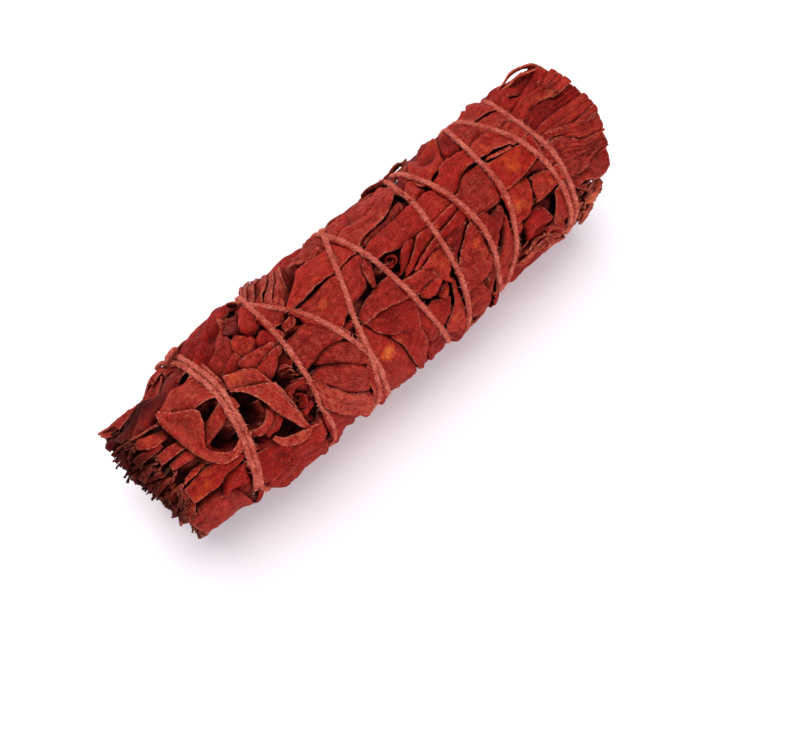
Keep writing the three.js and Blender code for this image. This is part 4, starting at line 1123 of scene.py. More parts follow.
def far_end_leaves():
    for angle in (36, 44, 160, 168, 176, 184):
        rim = 52.5 if angle < 90 else 47.5 - (angle - 160) * 0.1
        panel(
            0.3, [(39, angle + 5), (43, angle + 5), (rim, angle + 4)],
            [(39, angle - 5), (43, angle - 5), (rim - 0.6, angle - 4)], frayed=0.4, pleats=2, pleat=0.3,
            warm=0.3,
        )
    torn_scraps(75, (41, 49), (149, 196), 1, 1.1, 34, 1.3)
    panel(0.25, [(39, 58), (45, 57), (53, 55)], [(39, 46), (45, 46), (53, 46)], pleats=2, pleat=0.2)
    panel(
        0.24, [(39, 70), (46, 67), (50, 66.3), (54, 65)],
        [(39, 58.5), (44, 58), (46.5, 59.5), (50, 54), (53.4, 52)], lift=0.1,
    )
    panel(
        0.5, [(39, 98), (45, 98), (50, 98), (54.6, 98.3)], [(39, 83), (45, 80), (49, 84), (54.3, 84)],
        creases=3, pleats=4, pleat=0.13,
    )
    panel(
        0.16, [(39, 86), (43, 83.5), (45, 80.5), (49, 86.3), (54.6, 85.7)],
        [(39, 70.5), (44, 69), (47, 67.7), (50, 66.7), (54.4, 65.5)], lift=0.3, creases=3, pleats=4,
        pleat=0.14, warm=0.1,
    )
    panel(
        0.38, [(39, 153), (44, 151.7), (46, 155), (48, 158.5), (50.6, 157)],
        [(39, 142), (45, 141.7), (49, 141), (52.0, 141.5)], pleats=4, pleat=0.16,
    )
    panel(
        0.3, [(39, 106), (45, 108.5), (49, 112), (54.8, 112)],
        [(39, 97), (45, 97.3), (50, 97.7), (54.7, 98)], lift=0.2, creases=3, pleats=2, pleat=0.1,
    )
    panel(
        0.3, [(40, 109), (43, 110.5), (46, 118), (48, 123.7), (50, 128), (53, 130)],
        [(40, 103), (44, 106.7), (47, 110), (50, 112), (54.6, 111.5)], lift=0.3, creases=3, pleats=3,
        pleat=0.12,
    )
    panel(
        0.5, [(39, 143), (45, 142.3), (49, 141.7), (52.2, 141)],
        [(39, 112), (43, 111.5), (46, 119.5), (48, 126), (52.5, 131)], lift=0.4, creases=3, pleats=6,
        pleat=0.14, warm=0.15, tucks=(0.4, 0.6, 0.2, 0.3),
    )
    torn_scraps(9, (48, 51.5), (48, 156), 1, 0.9, 14, 0.9, -0.3)


def far_loop():
    """Two thin strips at the far end that stand clear of the rest, with light between."""
    strips = [(44.0, 55.2, 36, 50, 2.7, 1.9), (45.0, 54.6, 41, 55, 1.5, 1.5)]
    for start, end, from_angle, to_angle, bow, wide in strips:
        share, across = even_grid(24, 4)
        along = start + (end - start) * share
        base = np.interp(along, *zip(*REACH_PROFILE)) - 0.3
        half = wide / 2 * (1 + 0.3 * np.sin(share * 11))
        angle = from_angle + (to_angle - from_angle) * share + np.degrees(across * half / LEAF_RADIUS)
        radius = base + bow * np.sin(np.pi * share ** 1.6) ** 0.8 + 0.5 * across + 0.1 * np.sin(share * 17)
        blade = (share * 12, across, half * (1 - np.abs(across)))
        keep_leaf(sprig_of(from_angle), (along, angle, radius), blade, 0.2, 1.2, bare=True)


def curl_walls():
    """Rolled leaves seen from their ends: thin walls that stand in a hollow along a spiral."""
    curls = [(2.7, 101.8, 0.35, 1.0, 1.3, 1.0, 3.0), (-26.3, 134, 0.3, 0.7, 0.9, 2.0, 2.6)]
    for along, angle, inner, outer, turns, start, deep in curls:
        share, across = even_grid(7, 48)
        t = (across + 1) / 2
        depth = 1 - share
        turn = start + t * turns * 2 * math.pi
        radius = inner + (outer - inner) * t + 0.12 * np.sin(turn * 3)
        place = along + radius * np.cos(turn)
        at_angle = angle + np.degrees(radius * np.sin(turn) / LEAF_RADIUS)
        top = read_map(blur_map(field, 2.0), np.array([[along]]), np.array([[angle]])) - 0.5
        height = top + 0.3 * np.sin(turn * 1.3) - depth * deep
        keep_leaf(sprig_of(angle), (place, at_angle, height), (t * 20, depth * 3, share * 1.5), 0.2, 0.1)


# The folded inner leaves at the two cut ends: hairpins standing edge-on, in rings by radius and count
FOLD_RINGS = [(1.9, 2), (3.6, 4), (5.6, 6), (7.4, 8), (9.2, 10), (10.9, 12)]
MIDDLE_RADIUS = 4.4
FOLD_LENGTH = 12


def end_folds():
    for core_end, rim, outward in ((-46.0, NEAR_RIM, -1), (40.0, FAR_RIM, 1)):
        for radius, count in FOLD_RINGS:
            for k in range(count):
                middle = (k + chance.uniform(-0.2, 0.2)) * 360 / count
                spread = 360 / count * chance.uniform(0.36, 0.5)
                end = float(rim_at(rim, middle, radius)) + outward * chance.uniform(-1.6, 0.6)
                hairpin(core_end, end, radius, middle, spread)


def splinters():
    """Thin torn shreds of leaf and bark that stand out of the two cut ends."""
    ends = [
        (NEAR_RIM, 130, -1, (30, 192), (0.9, 2.0), (0.3, 3.4), (0.12, 0.42)),
        (FAR_RIM, 80, 1, (25, 200), (1.0, 2.8), (0.7, 2.4), (0.1, 0.28)),
    ]
    for rim, count, outward, angles, lengths, depths, breadths in ends:
        for _ in range(count):
            middle = chance.uniform(*angles)
            start = float(rim_at(rim, middle)) - outward * chance.uniform(0.9, 2.6)
            length = chance.uniform(*lengths)
            reach = float(np.interp(start, *zip(*REACH_PROFILE))) - chance.uniform(*depths)
            wide = chance.uniform(*breadths)
            lean = chance.uniform(-6, 6)
            share, across = even_grid(6, 3)
            half = wide * (1 - 0.75 * share)
            bend = chance.uniform(-1.0, 1.0) * share ** 2
            angle = middle + lean * share + np.degrees(across * half / LEAF_RADIUS)
            places = (start + outward * share * length, angle, reach + bend + 0.15 * across ** 2)
            tone = chance.uniform(0.3, 1.0)
            warm = 0.0 if outward < 0 else chance.uniform(0, 1.0)
            keep_leaf(sprig_of(middle), places, (share * 4, across, half), tone, warm, shred=True)


def hairpin(core_end, rim, radius, middle, spread):
    columns = 18
    share, across = even_grid(9, columns)
    phase = chance.uniform(0, 6)
    flip = chance.choice((-1, 1))
    back = np.clip((np.abs(across) - 0.06) / 0.94, 0, 1)
    angle = middle + flip * spread * (1 - 2 * back) * (0.85 + 0.15 * share)
    lift = 0.42 * np.sign(across) * smooth(np.abs(across) * 7)
    wave = 0.3 * np.sin(angle * 0.3 * radius / 5 + phase) * share + 0.1 * np.sin(9 * across + phase)
    ragged = np.array([chance.uniform(-1.0, 0.8) for _ in range(columns)])
    along = core_end + (rim - core_end) * share + smooth((share - 0.6) / 0.4) * ragged[None, :]
    sprig = "middle" if radius < MIDDLE_RADIUS else sprig_of(middle)
    blade = (share * FOLD_LENGTH, across * 4, (1 - share) * 10)
    tone = chance.uniform(0.5, 1.0)
    keep_leaf(sprig, (along, angle, radius + lift + wave), blade, tone, 0.0, inner=True)


def reach_map():
    """How far the pressed bundle reaches at every place, in under the thread."""
    reach = np.interp(FIELD_ALONG, *zip(*REACH_PROFILE))[:, None] * np.ones((1, 360))
    bumps = 0.28 * np.sin(FIELD_ALONG[:, None] * 0.31 + np.radians(FIELD_ANGLE * 3))
    bumps = bumps + 0.22 * np.sin(FIELD_ALONG[:, None] * 0.57 - np.radians(FIELD_ANGLE * 5) + 1)
    press = PRESS_DEPTH * np.exp(-((THREAD_AWAY / PRESS_WIDTH) ** 2))
    for middle, changes in ((HIGH_SIDE, HIGH_SIDE_CHANGE), (LOW_SIDE, LOW_SIDE_CHANGE)):
        change = np.interp(FIELD_ALONG, *zip(*changes))[:, None]
        reach = reach + change * np.exp(-((apart_by(FIELD_ANGLE, middle) / SIDE_WIDTH) ** 2))
    return np.minimum(reach + bumps - press, lowest_reach(LEAF_FLOOR))


def proud_limit(radius, wanted):
    """Eases down what would stand too far proud of the pressed surface."""
    over = np.maximum(radius - wanted - PROUD / 2, 0)
    eased = PROUD / 2 * (1 - np.exp(-over / (PROUD / 2)))
    return np.where(over > 0, wanted + PROUD / 2 + eased, radius)


def pressed_in(radius, scale):
    """A radius past the start of the squash, drawn in or out by a scale."""
    return SQUASH_FROM + (radius - SQUASH_FROM) * np.where(radius > SQUASH_FROM, scale, 1)


def squash_leaves():
    """Presses the whole bundle radially to its measured reach, and in under the thread."""
    near = np.exp(-((THREAD_AWAY / PRESS_WIDTH) ** 2))
    wide = blur_map(field, 2.4)
    relief = blur_map(field, 0.7) - wide
    relief = np.maximum(relief * FLUSH, -HOLLOW_KEPT)
    natural = wide + 0.15 + relief * (1 - near) + near * (blur_map(field, 0.4) - wide)
    wanted = reach_map()
    scale = (wanted - SQUASH_FROM) / (natural - SQUASH_FROM)
    limit = lowest_reach(FIELD_LIMIT)
    field[:] = np.minimum(proud_limit(pressed_in(field, scale), wanted), limit)
    for leaf in leaves:
        radius = leaf["radius"]
        local_wanted = read_map(wanted, leaf["along"], leaf["angle"])
        if leaf.get("inner"):
            leaf["radius"] = radius * np.minimum(local_wanted / INNER_STRETCH, 1.06)
            continue
        if leaf.get("shred"):
            leaf["radius"] = np.minimum(radius, local_wanted)
            continue
        local_scale = read_map(scale, leaf["along"], leaf["angle"])
        pressed = proud_limit(pressed_in(radius, local_scale), local_wanted)
        lowest = np.interp(leaf["angle"] % 360, FIELD_ANGLE, limit)
        leaf["radius"] = np.minimum(pressed, lowest - 0.02 * (leaf["number"] % 10))


# Meshes
def set_values(mesh, name, kind, values):
    held = mesh.attributes.new(name, kind, "POINT")
    field_name = "value" if kind == "FLOAT" else "vector"
    held.data.foreach_set(field_name, np.ascontiguousarray(values, np.float32).ravel())


def set_places(mesh, points):
    mesh.vertices.foreach_set("co", np.ascontiguousarray(points, np.float32).ravel())


def link_piece(name, mesh):
    piece = bpy.data.objects.new(name, mesh)
    bpy.context.scene.collection.objects.link(piece)
    return piece


def sprig_piece(name, members):
    """All the leaves of a sprig as one piece: each a grid laid to its leaf's points."""
    bm = bmesh.new()
    for leaf in members:
        rows, columns = leaf["radius"].shape
        bmesh.ops.create_grid(bm, x_segments=columns - 1, y_segments=rows - 1, size=1.0)
    mesh = bpy.data.meshes.new(name)
    bm.to_mesh(mesh)
    bm.free()
    points = [to_frame(leaf["along"], leaf["angle"], leaf["radius"]).reshape(-1, 3) for leaf in members]
    set_places(mesh, np.concatenate(points))
    for key in ("look", "blade"):
        set_values(mesh, key, "FLOAT_VECTOR", np.concatenate([leaf[key].reshape(-1, 3) for leaf in members]))
    # The painted shade of the hollows and the cut end, for each point
    set_values(mesh, "painted_shade", "FLOAT", np.concatenate([leaf["painted_shade"].ravel() for leaf in members]))
    mesh.polygons.foreach_set("use_smooth", np.ones(len(mesh.polygons), bool))
    mesh.update()
    piece = link_piece(name, mesh)
    wall = piece.modifiers.new("Leaf thickness", "SOLIDIFY")
    wall.thickness = LEAF_WALL * MM
    wall.offset = -1
    return piece


# Orange patches: along, angle, radius and strength
SPOTS = [
    (-8.3, 149.5, 1.5, 2.6), (17.6, 131, 1.2, 1.3), (28.8, 130, 1.2, 1.5), (33, 104, 2.0, 0.8),
    (7.2, 168, 1.0, 1.2), (31.5, 85, 1.1, 1.2), (-33, 95, 1.4, 0.8), (17, 93, 1.2, 0.9), (22, 64, 1.8, 0.8),
    (44.5, 172, 1.2, 1.3), (-12.5, 97, 1.3, 0.8), (13.6, 103, 0.9, 0.9), (-6, 64, 1.4, 0.9),
    (-48, 142, 1.0, 0.9), (37.5, 133, 1.2, 0.8), (-50.8, 86, 1.2, 1.0), (-53.5, 57, 1.0, 1.4),
    (38, 88, 1.2, 0.5), (46, 176, 1.0, 1.6), (-27.5, 84, 0.9, 1.1),
]


def spot_warmth(along, angle):
    warmth = np.zeros_like(along)
    for spot_along, spot_angle, radius, strength in SPOTS:
        aside = apart_by(angle, spot_angle) * math.radians(1) * LEAF_RADIUS
        far = ((along - spot_along) ** 2 + aside ** 2) / radius ** 2
        warmth += strength * np.exp(-(far ** 1.5))
    return warmth


# Painted shade over the near cut end and over the leaves beside it
CUT_MIDDLE = 104
CUT_HALF = 56
CUT_FROM = -51.5
CUT_DARK = 0.76
SHADED_BELOW = 69
SHADED_FROM = -41
SHADED_DARK = 0.8
DEEP_FROM = 0.18
DEEP_SPAN = 1.5


def mark_hollows():
    """Painted shade for each point, from how deep it lies below the leaves round it, over the near cut end
    and inside the folded inner leaves; and each leaf's tone, warmth and dust.
    """
    around = blur_map(np.maximum(field, blur_map(field, 1.0)), 1.6)
    for leaf in leaves:
        along, angle = leaf["along"], leaf["angle"]
        # Painted shade in the hollows, darker the deeper a point lies below the leaves round it
        depth = read_map(around, along, angle) - leaf["radius"]
        deep = np.clip((depth - DEEP_FROM) / DEEP_SPAN, 0, 1)
        if leaf.get("bare"):
            deep = 0 * deep
        # Folded inner leaves: painted shade, darker further in from the cut end
        if leaf.get("inner"):
            share = leaf["blade"][..., 0] / FOLD_LENGTH
            deep = np.maximum(0.5, smooth(1.15 - share))
        # Painted shade over the near cut end and the leaves beside it
        cut = smooth((CUT_FROM - along) / 3.5) * smooth((CUT_HALF - np.abs(apart_by(angle, CUT_MIDDLE))) / 12)
        shaded = smooth((SHADED_FROM - along) / 6) * smooth((SHADED_BELOW - angle) / 14)
        leaf["painted_shade"] = np.maximum(np.maximum(deep, CUT_DARK * cut), SHADED_DARK * shaded)
        dust = chance.uniform(0, 0.45) if leaf.get("dusty") is None else leaf["dusty"]
        warmth = leaf["warm"] + spot_warmth(along, angle)
        leaf["look"] = np.stack((leaf["tone"] + 0 * warmth, warmth, dust + 0 * warmth), -1)


# Materials
NODE_COLUMNS = 12
NODE_ACROSS = 220
NODE_DOWN = 320
BLACK = (0.0, 0.0, 0.0)
WHITE = (1.0, 1.0, 1.0)
RED = (0.245, 0.0080, 0.0058)
DEEP_RED = (0.150, 0.0058, 0.0052)
PLUM = (0.072, 0.0050, 0.0056)
BRICK = (0.335, 0.0150, 0.0090)
RUST = (0.47, 0.050, 0.012)
ORANGE = (0.66, 0.175, 0.035)
# Pale pink for worn edges, flecks and rubs: partly wear and dust, partly painted highlight
WORN_AND_HIGHLIGHT = (0.46, 0.098, 0.058)
# Paler rim along the leaf edges: partly wear, partly painted highlight
RIM_WEAR_AND_HIGHLIGHT = (0.68, 0.235, 0.155)
DUST = (0.41, 0.076, 0.044)
# Painted shade: near black for the crease lines and the hollows
CREASE_PAINTED_SHADE = (0.05, 0.004, 0.004)
CAVITY_PAINTED_SHADE = (0.016, 0.0014, 0.0010)
STEM_DARK = (0.045, 0.013, 0.009)
STEM_LIGHT = (0.22, 0.075, 0.04)
YARN = (0.43, 0.057, 0.036)
# Dark red for dark fibres, and painted shade in the grooves between the plies
YARN_DARK_AND_SHADE = (0.19, 0.013, 0.009)
# Pale pink for pale fibres and the fuzz: partly paler fibres, partly painted highlight
YARN_PALE_AND_HIGHLIGHT = (0.82, 0.29, 0.20)


def new_material(name, rough):
    material = bpy.data.materials.new(name)
    material.use_nodes = True
    shader = material.node_tree.nodes["Principled BSDF"]
    shader.inputs["Roughness"].default_value = rough
    return material, material.node_tree, shader


def node_of(tree, kind):
    """A new node, set out in rows in the order they are made."""
    node = tree.nodes.new(kind)
    row, column = divmod(len(tree.nodes), NODE_COLUMNS)
    node.location = (column * NODE_ACROSS, -row * NODE_DOWN)
    return node


def plug(tree, socket, value):
    """Links a socket, or gives it a number or a colour."""
    if isinstance(value, bpy.types.NodeSocket):
        tree.links.new(value, socket)
    elif isinstance(value, (int, float)):
        socket.default_value = value
    else:
        socket.default_value = (*value, 1)


def object_coords(tree):
    return node_of(tree, "ShaderNodeTexCoord").outputs["Object"]


def attribute(tree, name):
    node = node_of(tree, "ShaderNodeAttribute")
    node.attribute_name = name
    return node


def split(tree, vector):
    node = node_of(tree, "ShaderNodeSeparateXYZ")
    tree.links.new(vector, node.inputs[0])
    return node.outputs


def math_node(tree, operation, *values):
    node = node_of(tree, "ShaderNodeMath")
    node.operation = operation
    for socket, value in zip(node.inputs, values):
        plug(tree, socket, value)
    return node.outputs[0]


def part_of(tree, value, amount):
    return math_node(tree, "MULTIPLY", value, amount)


def swayed(tree, value, pattern, swing):
    """A value that a pattern moves up or down by half its swing."""
    lowered = math_node(tree, "SUBTRACT", value, swing / 2)
    return math_node(tree, "MULTIPLY_ADD", pattern, swing, lowered)


def shared(tree, first, second, share):
    """Two patterns added up, the first with this share."""
    return math_node(tree, "MULTIPLY_ADD", first, share, part_of(tree, second, 1 - share))


def noise(tree, vector, scale, detail=3.0, rough=0.55, stretch=None):
    if stretch:
        mapping = node_of(tree, "ShaderNodeMapping")
        mapping.inputs["Scale"].default_value = stretch
        tree.links.new(vector, mapping.inputs["Vector"])
        vector = mapping.outputs["Vector"]
    node = node_of(tree, "ShaderNodeTexNoise")
    tree.links.new(vector, node.inputs["Vector"])
    node.inputs["Scale"].default_value = scale
    node.inputs["Detail"].default_value = detail
    node.inputs["Roughness"].default_value = rough
    return node.outputs["Fac"]


def ramp(tree, value, stops):
    """A value turned into colours by its stops."""
    node = node_of(tree, "ShaderNodeValToRGB")
    tree.links.new(value, node.inputs[0])
    elements = node.color_ramp.elements
    while len(elements) < len(stops):
        elements.new(0.5)
    for element, (position, colour) in zip(elements, stops):
        element.position = position
        element.color = (*colour, 1)
    return node.outputs[0]


def rising(tree, value, low, high):
    """Black up to a low value and white from a high one."""
    return ramp(tree, value, [(low, BLACK), (high, WHITE)])


def falling(tree, value, low, high):
    """White up to a low value and black from a high one."""
    return ramp(tree, value, [(low, WHITE), (high, BLACK)])


def tint(tree, colour, share, other):
    """A colour with a share of another laid over it."""
    node = node_of(tree, "ShaderNodeMix")
    node.data_type = "RGBA"
    for number, value in ((0, share), (6, colour), (7, other)):
        plug(tree, node.inputs[number], value)
    return node.outputs[2]


def bump(tree, height, strength, depth, under=None):
    """Fine relief, with its depth in metres, over another relief if one is given."""
    node = node_of(tree, "ShaderNodeBump")
    node.inputs["Strength"].default_value = strength
    node.inputs["Distance"].default_value = depth
    tree.links.new(height, node.inputs["Height"])
    if under:
        tree.links.new(under, node.inputs["Normal"])
    return node.outputs[0]


def leaf_material():
    material, tree, shader = new_material("Dried sage leaf", 0.6)
    shader.inputs["Specular IOR Level"].default_value = 0.04
    coords = object_coords(tree)
    tone, warm, spread = split(tree, attribute(tree, "look").outputs["Vector"])
    blade = attribute(tree, "blade").outputs["Vector"]
    edge = split(tree, blade)[2]
    # How much painted shade each point gets
    painted_shade = attribute(tree, "painted_shade").outputs["Fac"]

    broad = noise(tree, coords, 260, detail=2.0)
    mottle = noise(tree, coords, 800, rough=0.6)
    fine = noise(tree, coords, 3200, rough=0.6)
    streak = noise(tree, blade, 1.3, rough=0.6, stretch=(0.45, 1.1, 0.0))
    grain = noise(tree, blade, 3.2, rough=0.65, stretch=(0.40, 1.3, 0.0))

    # Reds from brick to plum
    shade = swayed(tree, tone, broad, 1.3)
    shade = swayed(tree, shade, streak, 0.8)
    shade = swayed(tree, shade, grain, 0.2)
    colour = ramp(tree, shade, [(0.0, BRICK), (0.3, RED), (0.62, DEEP_RED), (1.0, PLUM)])
    spots = falling(tree, mottle, 0.36, 0.5)
    colour = tint(tree, colour, part_of(tree, spots, 0.22), PLUM)

    # Orange patches
    patch = math_node(tree, "MULTIPLY_ADD", warm, 0.28, broad)
    patch = swayed(tree, patch, mottle, 0.5)
    glow = ramp(tree, part_of(tree, patch, 0.85), [(0.80, RUST), (1.0, ORANGE)])
    colour = tint(tree, colour, part_of(tree, rising(tree, patch, 0.66, 0.86), 0.75), glow)

    # Dust; worn edges and a paler rim, each partly wear and partly a painted highlight; and flecks and rubs,
    # partly wear and dust and partly painted glints
    dusty = ramp(tree, shared(tree, grain, mottle, 0.5), [(0.42, BLACK), (0.60, (0.9, 0.9, 0.9))])
    colour = tint(tree, colour, math_node(tree, "MULTIPLY", spread, dusty), DUST)
    # Worn edges: partly wear, partly a painted highlight along the crest by the edge
    edge_breakup = part_of(tree, math_node(tree, "MULTIPLY_ADD", fine, 0.5, mottle), 0.9)
    worn_edge_and_highlight = rising(tree, math_node(tree, "MULTIPLY_ADD", edge, -1.6, edge_breakup), 0.36, 0.62)
    colour = tint(tree, colour, part_of(tree, worn_edge_and_highlight, 0.5), WORN_AND_HIGHLIGHT)
    # A paler rim along each edge: partly wear, partly a painted highlight
    rim_highlight_band = ramp(tree, edge, [(0.0, (0.7, 0.7, 0.7)), (0.14, WHITE), (0.36, BLACK)])
    broken = rising(tree, shared(tree, fine, grain, 0.35), 0.50, 0.60)
    rim_highlight_share = part_of(tree, broken, math_node(tree, "MULTIPLY_ADD", spread, 0.7, 0.32))
    colour = tint(tree, colour, part_of(tree, rim_highlight_band, rim_highlight_share), RIM_WEAR_AND_HIGHLIGHT)
    # Flecks and rubs: partly wear and dust, partly painted glints
    flecks_and_glints = rising(tree, fine, 0.60, 0.70)
    colour = tint(tree, colour, part_of(tree, flecks_and_glints, 0.6), WORN_AND_HIGHLIGHT)
    rubs_and_glints = rising(tree, noise(tree, blade, 2.2, 4.0, 0.75, (0.6, 1.2, 0.0)), 0.56, 0.70)
    rub_glint_share = math_node(tree, "MULTIPLY_ADD", spread, 0.5, 0.2)
    colour = tint(tree, colour, part_of(tree, rubs_and_glints, rub_glint_share), WORN_AND_HIGHLIGHT)

    # Painted shade: thin dark lines in the creases, and the dark of the hollows
    away = math_node(tree, "ABSOLUTE", math_node(tree, "SUBTRACT", streak, 0.5))
    crease_shade_lines = falling(tree, away, 0.0, 0.022)
    colour = tint(tree, colour, part_of(tree, crease_shade_lines, 0.32), CREASE_PAINTED_SHADE)
    # Painted shade, near black where the leaves lie deepest
    deep = math_node(tree, "POWER", painted_shade, 0.8)
    colour = tint(tree, colour, part_of(tree, deep, 0.93), CAVITY_PAINTED_SHADE)
    tree.links.new(colour, shader.inputs["Base Color"])

    # Relief of the veins, the grain and the creases
    veins = node_of(tree, "ShaderNodeTexVoronoi")
    veins.feature = "DISTANCE_TO_EDGE"
    veins.inputs["Scale"].default_value = 0.75
    tree.links.new(blade, veins.inputs["Vector"])
    net = rising(tree, veins.outputs["Distance"], 0.0, 0.16)
    wrinkle = math_node(tree, "MULTIPLY_ADD", net, 0.10, mottle)
    wrinkle = math_node(tree, "MULTIPLY_ADD", grain, 0.8, wrinkle)
    wrinkle = math_node(tree, "MULTIPLY_ADD", crease_shade_lines, -0.5, wrinkle)
    fine_bump = bump(tree, fine, 0.5, 0.00011)
    tree.links.new(bump(tree, wrinkle, 0.75, 0.00036, fine_bump), shader.inputs["Normal"])
    return material


def stem_material():
    material, tree, shader = new_material("Woody sage stem", 0.85)
    grain = noise(tree, object_coords(tree), 1, 4.0, 0.6, (200, 2600, 2600))
    bark = ramp(tree, grain, [(0.3, STEM_DARK), (0.75, STEM_LIGHT)])
    tree.links.new(bark, shader.inputs["Base Color"])
    tree.links.new(bump(tree, grain, 0.6, 0.0002), shader.inputs["Normal"])
    return material


def yarn_material():
    material, tree, shader = new_material("Soft cotton yarn", 0.95)
    shader.inputs["Specular IOR Level"].default_value = 0.04
    strand = attribute(tree, "strand").outputs["Vector"]
    groove = attribute(tree, "groove").outputs["Fac"]
    fibres = noise(tree, strand, 1.0, 4.0, 0.7, (2.2, 6.0, 1.0))
    dye = noise(tree, object_coords(tree), 420)
    level = math_node(tree, "MULTIPLY_ADD", fibres, 1.8, -0.65)
    level = math_node(tree, "MULTIPLY_ADD", dye, 0.5, level)
    # Fibres from dark to pale: dyed fibres, the pale streaks partly a painted highlight
    colour = ramp(tree, level, [(0.28, YARN_DARK_AND_SHADE), (0.5, YARN), (0.72, YARN_PALE_AND_HIGHLIGHT)])
    # Painted shade in the grooves between the plies
    colour = tint(tree, colour, part_of(tree, groove, 0.6), YARN_DARK_AND_SHADE)
    # The fuzz painted pale: partly paler fibres, partly a painted highlight
    fuzz_highlight = math_node(tree, "MAXIMUM", part_of(tree, groove, -1.0), 0.0)
    colour = tint(tree, colour, fuzz_highlight, YARN_PALE_AND_HIGHLIGHT)
    tree.links.new(colour, shader.inputs["Base Color"])
    tree.links.new(bump(tree, fibres, 0.8, 0.00015), shader.inputs["Normal"])
    return material


# The thread, laid taut over the pressed leaves
def thread_centres():
    angles, places = whole_route(ROUTE_STEP)
    radius = read_map(blur_map(field, 0.5), places, angles) + THREAD_RADIUS * 0.7
    floor_reach = np.interp(angles % 360, FIELD_ANGLE, lowest_reach(THREAD_RADIUS + FLOOR_GAP))
    along_round = np.radians(angles % 360) * LEAF_RADIUS
    for k in range(len(angles)):
        earlier = slice(0, max(k - NEXT_TO, 0))
        apart = np.abs(along_round[earlier] - along_round[k])
        apart = np.minimum(apart, 2 * math.pi * LEAF_RADIUS - apart)
        away = np.hypot(places[earlier] - places[k], apart)
        under = away < 1.2 * THREAD_RADIUS
        if under.any():
            radius[k] = max(radius[k], radius[earlier][under].max() + 1.1 * THREAD_RADIUS)
    hold = math.cos(math.radians(ROUTE_STEP))
    for _ in range(TAUT_ROUNDS):
        taut = (np.roll(radius, 1) + np.roll(radius, -1)) / 2 * hold
        taut[0], taut[-1] = radius[0], radius[-1]
        radius = np.maximum(radius, taut)
    for _ in range(EASING_ROUNDS):
        radius[1:-1] = (radius[:-2] + 2 * radius[1:-1] + radius[2:]) / 4
    radius = np.minimum(radius, floor_reach)
    return to_frame(places, angles, radius) / MM


def even_steps(points, step):
    """The same line with points a fixed step apart."""
    lengths = np.concatenate([[0], np.cumsum(np.linalg.norm(np.diff(points, axis=0), axis=1))])
    count = int(lengths[-1] / step) + 1
    stops = np.linspace(0, lengths[-1], count)
    return np.stack([np.interp(stops, lengths, points[:, axis]) for axis in range(3)], -1), stops


def yarn_frames(centres):
    forward = np.gradient(centres, axis=0)
    forward /= np.linalg.norm(forward, axis=1)[:, None]
    axis_point = np.array([0, AXIS_ACROSS, AXIS_HEIGHT])
    outward = centres - axis_point
    outward[:, 0] = 0
    outward -= forward * (outward * forward).sum(1)[:, None]
    outward /= np.linalg.norm(outward, axis=1)[:, None]
    return forward, outward, np.cross(forward, outward)


def yarn_tube(bm, centres, stops, layers, radius=THREAD_RADIUS):
    """Three plies twisted together round a line."""
    _, outward, aside = yarn_frames(centres)
    strand, groove = layers
    rings = len(centres)
    made = bmesh.ops.create_grid(bm, x_segments=THREAD_SIDES, y_segments=rings - 1, size=1.0)
    verts = made["verts"]
    phase = np.linspace(0, 2 * math.pi, THREAD_SIDES + 1)
    for ring, stop in enumerate(stops):
        twist = 2 * math.pi * stop / THREAD_TWIST
        swell = 1 + 0.07 * math.sin(stop * 0.9) + 0.06 * math.sin(stop * 2.3 + math.sin(stop))
        for side in range(THREAD_SIDES + 1):
            lobe = abs(math.cos(THREAD_LOBES * (phase[side] - twist) / 2))
            reach = radius * swell * (0.80 + 0.22 * lobe ** 0.6)
            turn = -phase[side]
            point = centres[ring] + reach * (math.cos(turn) * outward[ring] + math.sin(turn) * aside[ring])
            vert = verts[ring * (THREAD_SIDES + 1) + side]
            vert.co = point * MM
            vert[strand] = (stop, phase[side] - twist, 0)
            # How deep a point lies in a groove between plies, where the yarn gets painted shade
            vert[groove] = (1 - lobe) ** 2


def close_ends(bm):
    """Joins each tube along its seam and closes its ends."""
    bmesh.ops.remove_doubles(bm, verts=bm.verts, dist=1e-6)
    open_edges = [edge for edge in bm.edges if edge.is_boundary]
    bmesh.ops.holes_fill(bm, edges=open_edges, sides=THREAD_SIDES + 2)


def tail_points(ends):
    """A short free end that leaves the knot and lies down on the leaves."""
    points = []
    for along, angle, rise in ends:
        high = float(surface_at(np.array([along]), np.array([angle]))[0])
        points.append(to_frame(along, angle, high + THREAD_RADIUS * 0.8 + rise) / MM)
    return np.array(points)


def smooth_line(points, times):
    """A smooth curve through points, with this many steps between two of them."""
    padded = np.concatenate([[2 * points[0] - points[1]], points, [2 * points[-1] - points[-2]]])
    line = []
    for k in range(1, len(padded) - 2):
        a, b, c, d = padded[k - 1], padded[k], padded[k + 1], padded[k + 2]
        for t in np.linspace(0, 1, times, endpoint=False):
            line.append(0.5 * (2 * b + (c - a) * t + (2 * a - 5 * b + 4 * c - d) * t ** 2
                               + (3 * b - a - 3 * c + d) * t ** 3))
    line.append(points[-1])
    return np.array(line)


def knot_points():
    """Two small loops over both strands, where the ends are tied."""
    near = float(surface_at(np.array([KNOT_ALONG]), np.array([KNOT_ANGLE]))[0])
    points = []
    for t in np.linspace(0, 1, KNOT_POINTS):
        turn = t * KNOT_TURNS * 2 * math.pi
        along = KNOT_ALONG + 1.35 * math.cos(turn)
        angle = KNOT_ANGLE + 2.2 * (t - 0.5) + 5.5 * math.sin(turn) * 0.5
        rise = 1.0 + 0.75 * math.sin(turn + 0.6) + 0.35 * t
        points.append(to_frame(along, angle, near + rise) / MM)
    return np.array(points)


